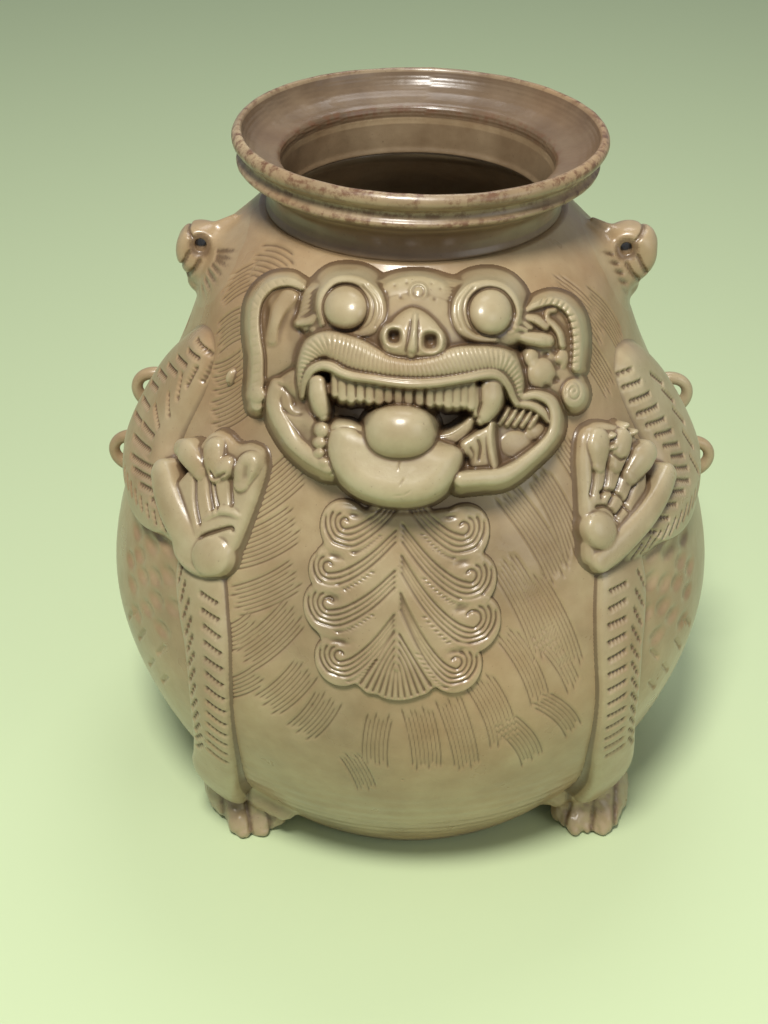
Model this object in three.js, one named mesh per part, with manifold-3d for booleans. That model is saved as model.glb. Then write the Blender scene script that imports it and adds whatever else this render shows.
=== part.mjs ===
// Celadon zun jar made as a crouching beast that holds a pearl in its open mouth.
// Millimetres, +Z up. The origin is the centre of the flat base, and the face looks along -Y.
// The jar and its dish mouth are thrown. Every other piece is shaped by hand and luted on.
import * as THREE from 'three';
import { mergeVertices } from 'three/addons/utils/BufferGeometryUtils.js';
import Module from 'manifold-3d';

const wasm = await Module();
wasm.setup();

// Thrown jar: outer radii from the base up, and the rise from each one to the next
const BASE_RADIUS = 80.2;
const HEEL_RISE = 10;
const HEEL_RADIUS = 88.4;
const LOWER_RISE = 35;
const LOWER_RADIUS = 110.7;
const BELLY_RISE = 50;
const BELLY_RADIUS = 123.4;
const CHEST_RISE = 50;
const CHEST_RADIUS = 112;
const SHOULDER_RISE = 50;
const SHOULDER_RADIUS = 89.2;
const COLLAR_RISE = 37;
const COLLAR_RADIUS = 73.3;
const SEAT_RISE = 18;
const SEAT_RADIUS = 57;
const WALL = 7;
const FLOOR_THICKNESS = 9;
const COMB_HALF_WIDTH = 6;
const COMB_DEPTH = 0.7;

// Thrown neck and dish mouth, seated on the top of the jar
const NECK_RADIUS = 54.8;
const NECK_WALL = 6;
const NECK_RISE = 9;
const RIDGE_RISE = 9;
const RIDGE_RADIUS = 66.2;
const GROOVE_DEPTH = 1.8;
const LIP_RISE = 11;
const LIP_RADIUS = 68.3;
const LIP_THICKNESS = 3.4;
const THROAT_RADIUS = 49.9;
const RIM_SHIFT = 2.5;
const RIM_TILT = 0.96;

// The face, on a plane that leans back against the shoulder of the jar
const FACE_DROP = 35;
const FACE_TILT = 30;
const EYE_RADIUS = 7.3;
const EYE_LIFT = 12;
const NOSTRIL_RADIUS = 2.3;
const NOSTRIL_DEPTH = 6;
const BOSS_RADIUS = 3.1;
const BOSS_LIFT = 12.9;
const PEARL_HALF_WIDTH = 11.9;
const PEARL_HALF_HEIGHT = 9.3;
const PEARL_LIFT = 17.5;
const TOOTH_COUNT = 14;
const TOOTH_LENGTH = 7;
const TOOTH_HALF_WIDTH = 1.65;

// The beard, a scalloped oval
const BEARD_AZIMUTH = -2;
const BEARD_DROP = 106;
const BEARD_HALF_WIDTH = 34.5;
const BEARD_HALF_LENGTH = 33;
const BEARD_SCALLOPS = 15;
const SCALLOP_DEPTH = 1.3;

// Pierced lugs on the shoulders and small loops on the flanks
const LUG_HALF_WIDTH = 7.5;
const LUG_PROUD = 14.5;
const LUG_HOLE_RADIUS = 3.2;
const LUG_HOLE_DROP = 19;
const LUG_HOLE_LIFT = 6.5;
const LOOP_STOCK_RADIUS = 2.4;
const LOOP_REACH = 8.6;
const LOOP_HALF_SPAN = 7;
const UPPER_LOOP_DROP = 81;
const LOWER_LOOP_DROP = 110;

// Feet
const FOOT_AZIMUTH = 50;
const FOOT_CLEARANCE = 1;
const TOE_RADIUS = 5.2;

// Fits
const SEAT_GAP = 0.3;
const ROOT = 2.5;

// Facets
const JAR_SIDES = 40;
const FINE_SIDES = 10;
const COARSE_SIDES = 8;
const SMALL_SIDES = 6;

const SEAT_HEIGHT = HEEL_RISE + LOWER_RISE + BELLY_RISE + CHEST_RISE + SHOULDER_RISE + COLLAR_RISE + SEAT_RISE;
const radians = THREE.MathUtils.degToRad;

// The outer outline of the jar as radius and height, and the radius at any height
const jarStations = [
  [BASE_RADIUS, 0],
  [HEEL_RADIUS, HEEL_RISE],
  [LOWER_RADIUS, LOWER_RISE],
  [BELLY_RADIUS, BELLY_RISE],
  [CHEST_RADIUS, CHEST_RISE],
  [SHOULDER_RADIUS, SHOULDER_RISE],
  [COLLAR_RADIUS, COLLAR_RISE],
  [SEAT_RADIUS, SEAT_RISE],
];
let climbed = 0;
const jarCurve = new THREE.CatmullRomCurve3(jarStations.map(([radius, rise]) => {
  climbed += rise;
  return new THREE.Vector3(radius, climbed, 0);
}), false, 'centripetal');
const jarSamples = jarCurve.getPoints(200);

function jarRadius(height) {
  if (height >= SEAT_HEIGHT) {
    return SEAT_RADIUS - (height - SEAT_HEIGHT);
  }
  const upper = Math.max(1, jarSamples.findIndex((sample) => sample.y > height));
  const [low, high] = [jarSamples[upper - 1], jarSamples[upper]];
  const share = Math.max(0, (height - low.y) / (high.y - low.y));
  return low.x + (high.x - low.x) * share;
}

// Solids and geometries
function signedVolume(position, faces) {
  const [a, b, c] = [new THREE.Vector3(), new THREE.Vector3(), new THREE.Vector3()];
  let volume = 0;
  for (let i = 0; i < faces.length; i += 3) {
    a.fromBufferAttribute(position, faces[i]);
    b.fromBufferAttribute(position, faces[i + 1]);
    c.fromBufferAttribute(position, faces[i + 2]);
    volume += a.dot(b.cross(c)) / 6;
  }
  return volume;
}

function solidOf(geometry) {
  const bare = geometry.clone();
  bare.deleteAttribute('normal');
  bare.deleteAttribute('uv');
  const merged = mergeVertices(bare);
  const corners = merged.index.array;
  const faces = [];
  for (let i = 0; i < corners.length; i += 3) {
    const [a, b, c] = corners.slice(i, i + 3);
    if (a !== b && b !== c && c !== a) {
      faces.push(a, b, c);
    }
  }
  if (signedVolume(merged.attributes.position, faces) < 0) {
    faces.reverse();
  }
  return new wasm.Manifold(new wasm.Mesh({
    numProp: 3,
    vertProperties: new Float32Array(merged.attributes.position.array),
    triVerts: new Uint32Array(faces),
  }));
}

function geometryOf(solid) {
  const mesh = solid.getMesh();
  const geometry = new THREE.BufferGeometry();
  geometry.setAttribute('position', new THREE.BufferAttribute(mesh.vertProperties, 3));
  geometry.setIndex(new THREE.BufferAttribute(mesh.triVerts, 1));
  geometry.computeVertexNormals();
  return geometry;
}

// A closed skin over rings that all have the same number of points
function loft(rings) {
  const sides = rings[0].length;
  const middle = (ring) => ring.reduce((sum, point) => sum.add(point), new THREE.Vector3()).divideScalar(sides);
  const points = [...rings.flat(), middle(rings[0]), middle(rings[rings.length - 1])];
  const firstMiddle = points.length - 2;
  const lastMiddle = points.length - 1;
  const lastRing = (rings.length - 1) * sides;
  const faces = [];
  for (let side = 0; side < sides; side += 1) {
    const next = (side + 1) % sides;
    for (let ring = 0; ring < lastRing; ring += sides) {
      faces.push(ring + side, ring + next, ring + sides + side);
      faces.push(ring + next, ring + sides + next, ring + sides + side);
    }
    faces.push(firstMiddle, next, side);
    faces.push(lastMiddle, lastRing + side, lastRing + next);
  }
  const geometry = new THREE.BufferGeometry().setFromPoints(points);
  geometry.setIndex(faces);
  return solidOf(geometry);
}

// Rows of numbers blended smoothly, from share 0 at the first row to 1 at the last
function blendRows(rows, share) {
  const span = rows.length - 1;
  const start = Math.min(Math.floor(share * span), span - 1);
  const step = share * span - start;
  const row = (index) => rows[Math.max(0, Math.min(span, index))];
  return rows[0].map((_, column) => {
    const [a, b, c, d] = [-1, 0, 1, 2].map((offset) => row(start + offset)[column]);
    const bend = (2 * a - 5 * b + 4 * c - d) * step ** 2 + (3 * b - a - 3 * c + d) * step ** 3;
    return b + 0.5 * ((c - a) * step + bend);
  });
}

// Places. Each gives the point at a lift over the surface of the jar.
// jarPlace takes azimuth from the front in degrees and the drop below the seat of the neck.
function jarPlace(azimuth, drop, lift) {
  const height = SEAT_HEIGHT - drop;
  const slope = jarRadius(height + 1) - jarRadius(height - 1);
  const normal = new THREE.Vector2(2, -slope).normalize();
  const reach = jarRadius(height) + lift * normal.x;
  const turn = radians(azimuth);
  return new THREE.Vector3(reach * Math.sin(turn), -reach * Math.cos(turn), height + lift * normal.y);
}

// facePlace takes the distance across and up on the leaning plane of the face.
const faceUp = new THREE.Vector3(0, Math.sin(radians(FACE_TILT)), Math.cos(radians(FACE_TILT)));
const faceOut = new THREE.Vector3(0, -faceUp.z, faceUp.y);
const faceCentre = jarPlace(0, FACE_DROP, 0);

function facePlace(across, up, lift) {
  const onPlane = faceCentre.clone().addScaledVector(faceUp, up);
  onPlane.x += across;
  let [inside, outside] = [-80, 40];
  for (let halving = 0; halving < 24; halving += 1) {
    const depth = (inside + outside) / 2;
    const probe = onPlane.clone().addScaledVector(faceOut, depth);
    if (Math.hypot(probe.x, probe.y) > jarRadius(probe.z)) {
      outside = depth;
    } else {
      inside = depth;
    }
  }
  return onPlane.addScaledVector(faceOut, outside + lift);
}

// A strap lofted along rows of [u, v, lift, half width, height above, depth below].
// crown and foot shape the section above and below its middle: 1 is round, less is square.
function strap(place, rows, { steps, sides = COARSE_SIDES, crown = 1, foot = 0.5, grow = 0 }) {
  const curved = (value, power) => Math.sign(value) * Math.abs(value) ** power;
  const rings = [];
  for (let step = 0; step <= steps; step += 1) {
    const share = step / steps;
    const [u, v, lift, halfWidth, above, below] = blendRows(rows, share);
    const centre = place(u, v, lift);
    const out = place(u, v, lift + 1).sub(centre).normalize();
    const behind = blendRows(rows, Math.max(0, share - 0.01));
    const ahead = blendRows(rows, Math.min(1, share + 0.01));
    const along = place(...ahead.slice(0, 3)).sub(place(...behind.slice(0, 3))).normalize();
    const side = new THREE.Vector3().crossVectors(out, along).normalize();
    const up = new THREE.Vector3().crossVectors(along, side);
    if (step === 0 || step === steps) {
      centre.addScaledVector(along, step === 0 ? -grow : grow);
    }
    const ring = [];
    for (let index = 0; index < sides; index += 1) {
      const turn = (index + 0.5) / sides * 2 * Math.PI;
      const power = Math.sin(turn) > 0 ? crown : foot;
      const height = Math.sin(turn) > 0 ? above + grow : below + grow;
      ring.push(centre.clone()
        .addScaledVector(side, (halfWidth + grow) * curved(Math.cos(turn), power))
        .addScaledVector(up, height * curved(Math.sin(turn), power)));
    }
    rings.push(ring);
  }
  return loft(rings);
}

// A pad with a closed outline of [u, v, extra lift] and rings of [share of the outline, lift].
function pad(place, outline, rings, { points, grow = 0, root = ROOT }) {
  const middle = [0, 1, 2].map((column) => (
    outline.reduce((sum, row) => sum + (row[column] ?? 0), 0) / outline.length));
  const loop = [outline.at(-1), ...outline, outline[0], outline[1]].map((row) => [row[0], row[1], row[2] ?? 0]);
  const edge = [];
  for (let index = 0; index < points; index += 1) {
    const share = (1 + index / points * outline.length) / (loop.length - 1);
    edge.push(blendRows(loop, share));
  }
  const skin = [[1, -root], ...rings].map(([scale, lift], order) => edge.map((row) => {
    const [u, v, extra] = row.map((value, column) => middle[column] + (value - middle[column]) * scale);
    const inner = place(u, v, order === 0 ? lift - grow : lift + extra + grow);
    const spread = place(u, v, lift).sub(place(middle[0], middle[1], lift)).normalize();
    return inner.addScaledVector(spread, order < 3 ? grow : 0);
  }));
  return loft(skin);
}

// A ball with half sizes across, along and out of the surface
function ball(place, u, v, lift, [across, along, out], grow = 0, sides = FINE_SIDES) {
  const centre = place(u, v, lift);
  const outward = place(u, v, lift + 1).sub(centre).normalize();
  const upward = place(u, v + 1, lift).sub(place(u, v - 1, lift));
  upward.addScaledVector(outward, -upward.dot(outward)).normalize();
  const sideways = new THREE.Vector3().crossVectors(upward, outward);
  const frame = new THREE.Matrix4().makeBasis(sideways, upward, outward).setPosition(centre);
  const geometry = new THREE.SphereGeometry(1, sides, Math.round(sides * 0.75));
  geometry.scale(across + grow, along + grow, out + grow);
  return solidOf(geometry.applyMatrix4(frame));
}

// Materials
const glazes = {
  jar: { color: '#9c8766', roughness: 0.28 },
  rim: { color: '#8a7252', roughness: 0.32 },
  relief: { color: '#aba07f', roughness: 0.24 },
};

const zun = new THREE.Group();

function addPiece(name, solid, glaze) {
  const material = new THREE.MeshStandardMaterial({ ...glazes[glaze], metalness: 0 });
  const mesh = new THREE.Mesh(geometryOf(solid), material);
  mesh.name = name;
  zun.add(mesh);
}

// The jar: an outer skin, an inner skin a wall inside it, and an open top with a flat seat
function jarSolid(grow) {
  const outer = jarCurve.getPoints(14).map((point) => new THREE.Vector2(point.x + grow, point.y));
  const throat = NECK_RADIUS - NECK_WALL;
  if (grow > 0) {
    const filled = [new THREE.Vector2(0, -grow), new THREE.Vector2(outer[0].x, -grow), ...outer];
    filled.push(new THREE.Vector2(SEAT_RADIUS, SEAT_HEIGHT + grow), new THREE.Vector2(0, SEAT_HEIGHT + grow));
    return lathe(filled);
  }
  const inner = [];
  const top = SEAT_HEIGHT - WALL;
  for (let step = 0; step <= 6; step += 1) {
    const height = top + (FLOOR_THICKNESS - top) * Math.sin(step / 6 * Math.PI / 2) ** 1.3;
    inner.push(new THREE.Vector2(Math.max(throat, jarRadius(height) - WALL), height));
  }
  return lathe([
    new THREE.Vector2(0, 0),
    ...outer,
    new THREE.Vector2(throat, SEAT_HEIGHT),
    ...inner,
    new THREE.Vector2(0, FLOOR_THICKNESS),
  ]);
}

function lathe(profile) {
  return solidOf(new THREE.LatheGeometry(profile, JAR_SIDES).rotateX(Math.PI / 2));
}

// The neck and dish mouth, whose lip leans a little off the axis of the jar
const ridgeHeight = SEAT_HEIGHT + NECK_RISE + RIDGE_RISE;
const lipHeight = ridgeHeight + LIP_RISE;
const rimProfile = [
  [NECK_RADIUS - NECK_WALL, SEAT_HEIGHT],
  [NECK_RADIUS, SEAT_HEIGHT],
  [NECK_RADIUS - 1, SEAT_HEIGHT + NECK_RISE / 2],
  [NECK_RADIUS + 0.8, SEAT_HEIGHT + NECK_RISE],
  [(NECK_RADIUS + RIDGE_RADIUS) / 2, ridgeHeight - RIDGE_RISE / 2.5],
  [RIDGE_RADIUS - 1.5, ridgeHeight - 1.8],
  [RIDGE_RADIUS, ridgeHeight],
  [RIDGE_RADIUS - GROOVE_DEPTH, ridgeHeight + LIP_RISE * 0.38],
  [LIP_RADIUS - 1.2, lipHeight - LIP_RISE * 0.44],
  [LIP_RADIUS, lipHeight - LIP_RISE * 0.28],
  [LIP_RADIUS - LIP_THICKNESS * 0.6, lipHeight],
  [LIP_RADIUS - LIP_THICKNESS, lipHeight - 0.9],
  [LIP_RADIUS - LIP_THICKNESS * 1.5, lipHeight - LIP_RISE * 0.45],
  [(LIP_RADIUS - LIP_THICKNESS + THROAT_RADIUS) / 2 + 2, ridgeHeight + 2.6],
  [THROAT_RADIUS + 2, ridgeHeight + 0.6],
  [THROAT_RADIUS, ridgeHeight - 0.8],
  [NECK_RADIUS - NECK_WALL, SEAT_HEIGHT + NECK_RISE / 2],
];

function rimSolid() {
  const profile = [...rimProfile, rimProfile[0]].map(([radius, height]) => new THREE.Vector2(radius, height));
  const geometry = new THREE.LatheGeometry(profile, JAR_SIDES).rotateX(Math.PI / 2);
  const position = geometry.attributes.position;
  for (let index = 0; index < position.count; index += 1) {
    const share = (position.getZ(index) - SEAT_HEIGHT) / (lipHeight - SEAT_HEIGHT);
    position.setZ(index, position.getZ(index) - Math.tan(radians(RIM_TILT)) * position.getX(index) * share);
    position.setX(index, position.getX(index) + RIM_SHIFT * share);
  }
  return solidOf(geometry);
}

// Combing: each sweep of the comb over the wet jar leaves a shallow trough.
// Rows give the azimuth and drop where a sweep starts and ends.
const sweeps = [
  [-60, 15, -43, 12], [-62, 32, -44, 28], [-62, 50, -42, 47], [-33, 78, -19, 66], [-33, 107, -19, 94],
  [-31, 134, -18, 123], [-28, 154, -14, 142], [20, 66, 30, 98], [18, 98, 30, 140], [14, 126, 26, 160],
  [2, 148, 11, 176], [-10, 148, -4, 176], [50, 12, 64, 28], [50, 27, 62, 43],
  [112, 44, 128, 66], [140, 38, 156, 62], [168, 46, 184, 68], [196, 36, 212, 60], [224, 46, 240, 66],
  [124, 92, 139, 118], [153, 84, 168, 110], [182, 94, 197, 120], [211, 86, 226, 112],
];

function combed(solid) {
  const section = [0, COMB_HALF_WIDTH, 3, COMB_DEPTH];
  return sweeps.reduce((jarLeft, [azimuth, drop, lastAzimuth, lastDrop]) => (
    jarLeft.subtract(strap(
      jarPlace,
      [[azimuth, drop, ...section], [lastAzimuth, lastDrop, ...section]],
      { steps: 2, sides: 4, crown: 0.2, foot: 0.2 },
    ))), solid);
}

const jar = jarSolid(0);
const jarFit = jarSolid(SEAT_GAP);
const rim = rimSolid();
addPiece('body_jar', combed(jar), 'jar');
addPiece('neck_and_dish_rim', rim, 'rim');

// Shapes of the applied pieces, each a function of the clearance that it is grown by
const shapes = {
  brow_plate: (grow) => pad(facePlace, [
    [-33, 15.5], [-34.5, 23], [-33, 31], [-28.5, 36.5], [-22, 38.8], [-13.5, 37.3], [-5, 38.2], [4, 38.6],
    [13, 37.8], [21, 37.6], [29, 36.6], [34.5, 32.5], [37.5, 25], [36.5, 18], [30, 14.5], [16, 12.5],
    [0, 11.5], [-14, 12.5], [-25, 14.5],
  ], [[1, 3], [0.975, 8], [0.85, 11.5], [0.5, 12.5]], { points: 20, grow }),

  left_eye_socket: (grow) => strap(facePlace, [
    [-30.8, 23, 9, 1.2, 2, 8], [-31, 30, 11.5, 1.9, 3, 8], [-27.5, 35.3, 12.5, 2.4, 3.4, 8],
    [-21.5, 36.8, 12.5, 2.6, 3.6, 8], [-15.5, 34.5, 13, 2.5, 3.6, 8], [-12.9, 28.5, 13, 2.3, 3.4, 8],
    [-14, 22.5, 13, 2, 2.8, 8], [-18.5, 18.8, 12, 1.5, 2, 8],
  ], { steps: 11, sides: SMALL_SIDES, grow }),

  right_eye_socket: (grow) => strap(facePlace, [
    [35.5, 21, 8, 1.2, 2, 8], [36, 28.5, 10, 1.6, 2.6, 8], [31.8, 34.8, 12, 2, 3.2, 8],
    [24.5, 36.5, 12.5, 2.2, 3.6, 8], [18, 33.6, 13, 2.5, 3.6, 8], [16.2, 27, 13, 2.5, 3.4, 8],
    [18, 21, 13, 2.2, 3, 8], [22.5, 17.8, 12, 1.5, 2, 8],
  ], { steps: 11, sides: SMALL_SIDES, grow }),

  left_eyeball: (grow) => ball(facePlace, -22.5, 27.3, EYE_LIFT, [EYE_RADIUS, EYE_RADIUS, EYE_RADIUS], grow),
  right_eyeball: (grow) => ball(facePlace, 26.3, 27, EYE_LIFT, [EYE_RADIUS, EYE_RADIUS, EYE_RADIUS], grow),

  nose: (grow) => strap(facePlace, [
    [0.5, 28.5, 12.5, 3, 2.5, 8], [0.5, 25.5, 14, 5.4, 5, 9], [0.8, 21.5, 15.5, 8.4, 7.5, 10],
    [0.8, 17.5, 16, 10.4, 8.5, 10], [0.8, 13.8, 15.5, 9.8, 7, 10], [0.8, 11.4, 15, 7.5, 4, 9],
  ], { steps: 6, crown: 0.8, grow }),

  moustache_lip: (grow) => strap(facePlace, [
    [-38.2, -1, 6, 2, 3.5, 8], [-36.8, 7.5, 9, 3.2, 5, 11], [-31.8, 14.2, 11, 4.7, 6, 13],
    [-24, 14.8, 13, 5.6, 6, 15], [-15, 11.2, 14.5, 5.3, 6, 17], [-6.5, 8.2, 15.5, 3.9, 6, 18],
    [0.5, 7.3, 16, 3.6, 6, 18], [7.5, 8.1, 15.5, 3.9, 6, 18], [15.5, 10.4, 14.5, 4.7, 6, 17],
    [24.5, 11.9, 13, 5, 6, 15], [31.8, 10.2, 11, 4.5, 6, 13], [36.2, 4.5, 9, 3, 5, 11],
    [37.8, -2.5, 6, 1.8, 3.5, 8],
  ], { steps: 13, foot: 0.3, grow }),

  upper_lip_bead: (grow) => strap(facePlace, [
    [-37.8, -3.5, 8, 1.5, 1.8, 4], [-37.2, 3, 11, 1.7, 2, 4], [-34, 7.9, 14, 1.9, 2, 4],
    [-29.2, 9.6, 16, 1.9, 2, 4], [-24, 8, 17.5, 1.9, 2, 4], [-17.5, 5.2, 18.5, 1.9, 2, 4],
    [-9, 3.2, 19.5, 1.8, 2, 4], [0, 2.4, 20, 1.7, 2, 4], [9, 3, 19.5, 1.8, 2, 4],
    [18, 5, 18.5, 1.9, 2, 4], [26, 6.7, 16.5, 1.9, 2, 4], [31.5, 5.8, 14, 1.9, 2, 4],
    [35, 1.8, 11, 1.7, 2, 4], [37, -4, 8, 1.5, 1.8, 4],
  ], { steps: 13, sides: SMALL_SIDES, grow }),

  left_fang: (grow) => strap(facePlace, [
    [-31, 4.5, 12, 3.6, 3.2, 4], [-31.6, 1, 13, 4, 3.8, 4], [-31.2, -4, 13.2, 3.4, 3.4, 4],
    [-29.9, -8.5, 13, 2, 2.2, 2.4], [-28.9, -11, 12.8, 0.7, 0.9, 1],
  ], { steps: 5, foot: 1, grow }),

  right_fang: (grow) => strap(facePlace, [
    [26.6, 4.5, 12, 4.4, 3.4, 4], [26.6, 0.5, 13, 5, 3.8, 4], [26, -4, 13.2, 4.4, 3.6, 4],
    [24.7, -8.5, 13, 2.8, 2.6, 2.6], [23.4, -12, 12.8, 0.8, 1, 1],
  ], { steps: 5, foot: 1, grow }),

  pearl: (grow) => ball(
    facePlace, -3.6, -14, PEARL_LIFT, [PEARL_HALF_WIDTH, PEARL_HALF_HEIGHT, PEARL_HALF_HEIGHT], grow),

  lower_lip: (grow) => strap(facePlace, [
    [-22.5, -11.5, 12, 4.6, 4, 6], [-21.8, -18.5, 13.5, 6.8, 7, 8], [-16.5, -26.5, 15, 8.4, 9, 9],
    [-5, -30.3, 16, 8.2, 10, 9], [6, -27.6, 15.5, 7.8, 9.5, 9], [12.7, -22.6, 14.5, 5.8, 8, 8],
    [15.6, -17.2, 12.5, 3.2, 4, 6],
  ], { steps: 10, foot: 1, grow })
    .add(ball(facePlace, -4, -18, 8, [14, 10, 12], grow, 8)),

  left_jaw_flare: (grow) => pad(facePlace, [
    [-39, -1.5, 0], [-44, 0.5, 0], [-49, -2.5, 0], [-49.8, -8, 0], [-47.5, -14, 1], [-43.5, -20.5, 2],
    [-38, -25.5, 3.5], [-31, -29.5, 5], [-24.5, -31, 6], [-25, -24, 5], [-29, -16, 3], [-34, -9, 1],
  ], [[1, 4], [0.96, 9.5], [0.85, 12], [0.6, 9], [0.3, 8]], { points: 20, grow }),

  right_jaw_flare: (grow) => pad(facePlace, [
    [37, -4, 0], [43, -2.8, 0], [48.5, -4.5, 0], [50.8, -10, 0], [49.5, -15.5, 0], [45.5, -21.5, 1],
    [39.5, -26.5, 2], [32, -30.5, 3], [24, -32.8, 4.5], [16.5, -33.5, 6], [17.5, -27.5, 6], [20.5, -20, 5],
    [25, -13.5, 3], [31, -8, 1],
  ], [[1, 4], [0.96, 10], [0.87, 12.5], [0.62, 8.5], [0.3, 7]], { points: 22, grow }),

  left_ear: (grow) => pad(facePlace, [
    [-41, 38.5], [-47, 37.3], [-52, 33.5], [-55.2, 27], [-56.3, 19], [-55.3, 10], [-55.7, 2], [-55, -5],
    [-51.5, -8.5], [-47.8, -5.5], [-46.8, 1], [-45.5, 7], [-42, 12], [-39.5, 18], [-38, 25], [-37.2, 31],
    [-37.8, 36],
  ], [[1, 2], [0.965, 7.5], [0.86, 9.5], [0.6, 5.5], [0.3, 4.5]], { points: 20, grow }),

  right_ear: (grow) => pad(facePlace, [
    [40.5, 26.5], [43, 30.5], [47.5, 32.3], [52.5, 30], [56, 23.5], [57.5, 15], [57, 7], [58.7, 1],
    [57, -4.5], [52.5, -5], [49.5, -1], [46.5, 4], [42.5, 8], [40.5, 13], [40, 20],
  ], [[1, 2], [0.965, 7.5], [0.86, 9.5], [0.6, 6], [0.3, 6.5]], { points: 20, grow }),

  left_cheek_tuft: (grow) => pad(facePlace, [
    [-32, 20], [-32.5, 26], [-35.5, 27.5], [-38.5, 24], [-40, 18], [-39, 12.5], [-36, 13],
  ], [[1, 3], [0.92, 7], [0.6, 8.5]], { points: 10, grow }),

  right_cheek_tuft: (grow) => pad(facePlace, [
    [35.5, 21.5], [40, 23.5], [45, 21.5], [48, 18], [45, 15], [39, 13.5], [35, 15],
  ], [[1, 4], [0.92, 8.5], [0.6, 10]], { points: 10, grow }),

  beard_plaque: (grow) => pad(jarPlace, beardOutline(), [[1, 2], [0.96, 3.5], [0.5, 4.4]], {
    points: BEARD_SCALLOPS * 2, grow }),

  left_palm: (grow) => pad(jarPlace, [
    [-44.5, 106.5], [-40.5, 107.7], [-36.3, 104.5], [-33.4, 98.5], [-31.8, 91], [-31, 83], [-31.6, 75],
    [-36, 73.5], [-42, 75], [-47, 78], [-50, 84], [-49.5, 93], [-47, 101],
  ], [[1, 4], [0.92, 10], [0.6, 10.5]], { points: 16, grow }),

  right_palm: (grow) => pad(jarPlace, [
    [38, 102.5], [34.7, 99], [33.2, 93], [33.8, 86], [35.4, 78], [36.8, 69], [41, 67], [46, 69],
    [50, 73], [51.5, 79], [49, 87], [45.5, 95], [42, 101],
  ], [[1, 4], [0.92, 10], [0.6, 10.5]], { points: 16, grow }),

  left_arm: (grow) => strap(jarPlace, [
    [-65.5, 36, 0, 3.5, 2.5, ROOT], [-66, 45, 0, 8.5, 6, ROOT], [-69, 57, 0, 11.5, 8, ROOT],
    [-72, 71, 0, 13, 9, ROOT], [-74, 86, 0, 13.5, 9.5, ROOT], [-70, 96.5, 0, 12, 9.5, ROOT],
    [-61, 99.5, 0, 9, 9, ROOT], [-52, 101, 0, 7.5, 9, ROOT], [-46, 102.5, 0, 6.5, 8, ROOT],
  ], { steps: 12, sides: FINE_SIDES, crown: 0.8, grow }),

  right_arm: (grow) => strap(jarPlace, [
    [65, 45, 0, 4.5, 2.5, ROOT], [67, 55, 0, 8.5, 6, ROOT], [70, 67, 0, 11.5, 8, ROOT],
    [73, 81, 0, 13, 9, ROOT], [73.5, 95, 0, 14, 9.5, ROOT], [66.5, 103, 0, 10.5, 9.5, ROOT],
    [57, 103.5, 0, 8, 9, ROOT], [48, 102, 0, 7.5, 9, ROOT], [41.5, 101, 0, 6.5, 8, ROOT],
  ], { steps: 12, sides: FINE_SIDES, crown: 0.8, grow }),

  left_leg: (grow) => strap(jarPlace, [
    [-41, 107, 0, 10, 3, ROOT], [-39.5, 118, 0, 10.6, 4, ROOT], [-36.8, 133, 0, 10.6, 4, ROOT],
    [-35.7, 150, 0, 10.3, 4, ROOT], [-36, 165, 0, 10, 4, ROOT], [-37.8, 181, 0, 9.8, 5, ROOT],
    [-41.5, 198, 0, 9.8, 6, ROOT], [-45, 214, 0, 10.2, 7.5, ROOT], [-47, 226, 0, 10.5, 8, ROOT],
  ], { steps: 12, crown: 0.62, grow }),

  right_leg: (grow) => strap(jarPlace, [
    [45, 108, 0, 12, 3, ROOT], [42.5, 116, 0, 12, 4, ROOT], [40.2, 127, 0, 11.2, 4, ROOT],
    [39, 142, 0, 10.5, 4, ROOT], [38.8, 158, 0, 10.2, 4, ROOT], [39.8, 173, 0, 10.4, 5, ROOT],
    [42.5, 190, 0, 10.6, 6, ROOT], [46.5, 208, 0, 10.8, 7.5, ROOT], [49, 224, 0, 11, 8, ROOT],
  ], { steps: 12, crown: 0.62, grow }),

  left_shoulder_lug: (grow) => lug(-90, grow),
  right_shoulder_lug: (grow) => lug(90, grow),
};

// The beard outline: an oval whose edge swells and dips once for each scallop
function beardOutline() {
  const rows = [];
  const degreesPerMillimetre = 1 / radians(jarRadius(SEAT_HEIGHT - BEARD_DROP));
  const count = BEARD_SCALLOPS * 2;
  for (let index = 0; index < count; index += 1) {
    const turn = index / count * 2 * Math.PI;
    const ripple = SCALLOP_DEPTH * Math.abs(Math.cos(turn * BEARD_SCALLOPS / 2));
    const across = (BEARD_HALF_WIDTH + ripple) * Math.sin(turn) * (1 - 0.08 * Math.cos(turn));
    const up = (BEARD_HALF_LENGTH + ripple) * Math.cos(turn);
    rows.push([BEARD_AZIMUTH + across * degreesPerMillimetre, BEARD_DROP - up]);
  }
  return rows;
}

// A lug: a knob pinched out of a spreading foot, with its hole running round the jar
function lug(azimuth, grow) {
  return strap(jarPlace, [
    [azimuth, 46, 0, LUG_HALF_WIDTH + 1, 1, ROOT], [azimuth, 38, 0, LUG_HALF_WIDTH + 4, 2, ROOT],
    [azimuth, 32, 0, LUG_HALF_WIDTH + 3, 6, ROOT], [azimuth, 27.5, 0, LUG_HALF_WIDTH, LUG_PROUD - 1, ROOT],
    [azimuth, 21, 0, LUG_HALF_WIDTH, LUG_PROUD, ROOT], [azimuth, 16, 0, LUG_HALF_WIDTH - 0.5, LUG_PROUD - 2.5, ROOT],
    [azimuth, 12, 0, LUG_HALF_WIDTH - 1.5, LUG_PROUD - 7, ROOT], [azimuth, 8, 0, LUG_HALF_WIDTH - 4, 2, ROOT],
  ], { steps: 8, crown: 0.8, grow });
}

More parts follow.
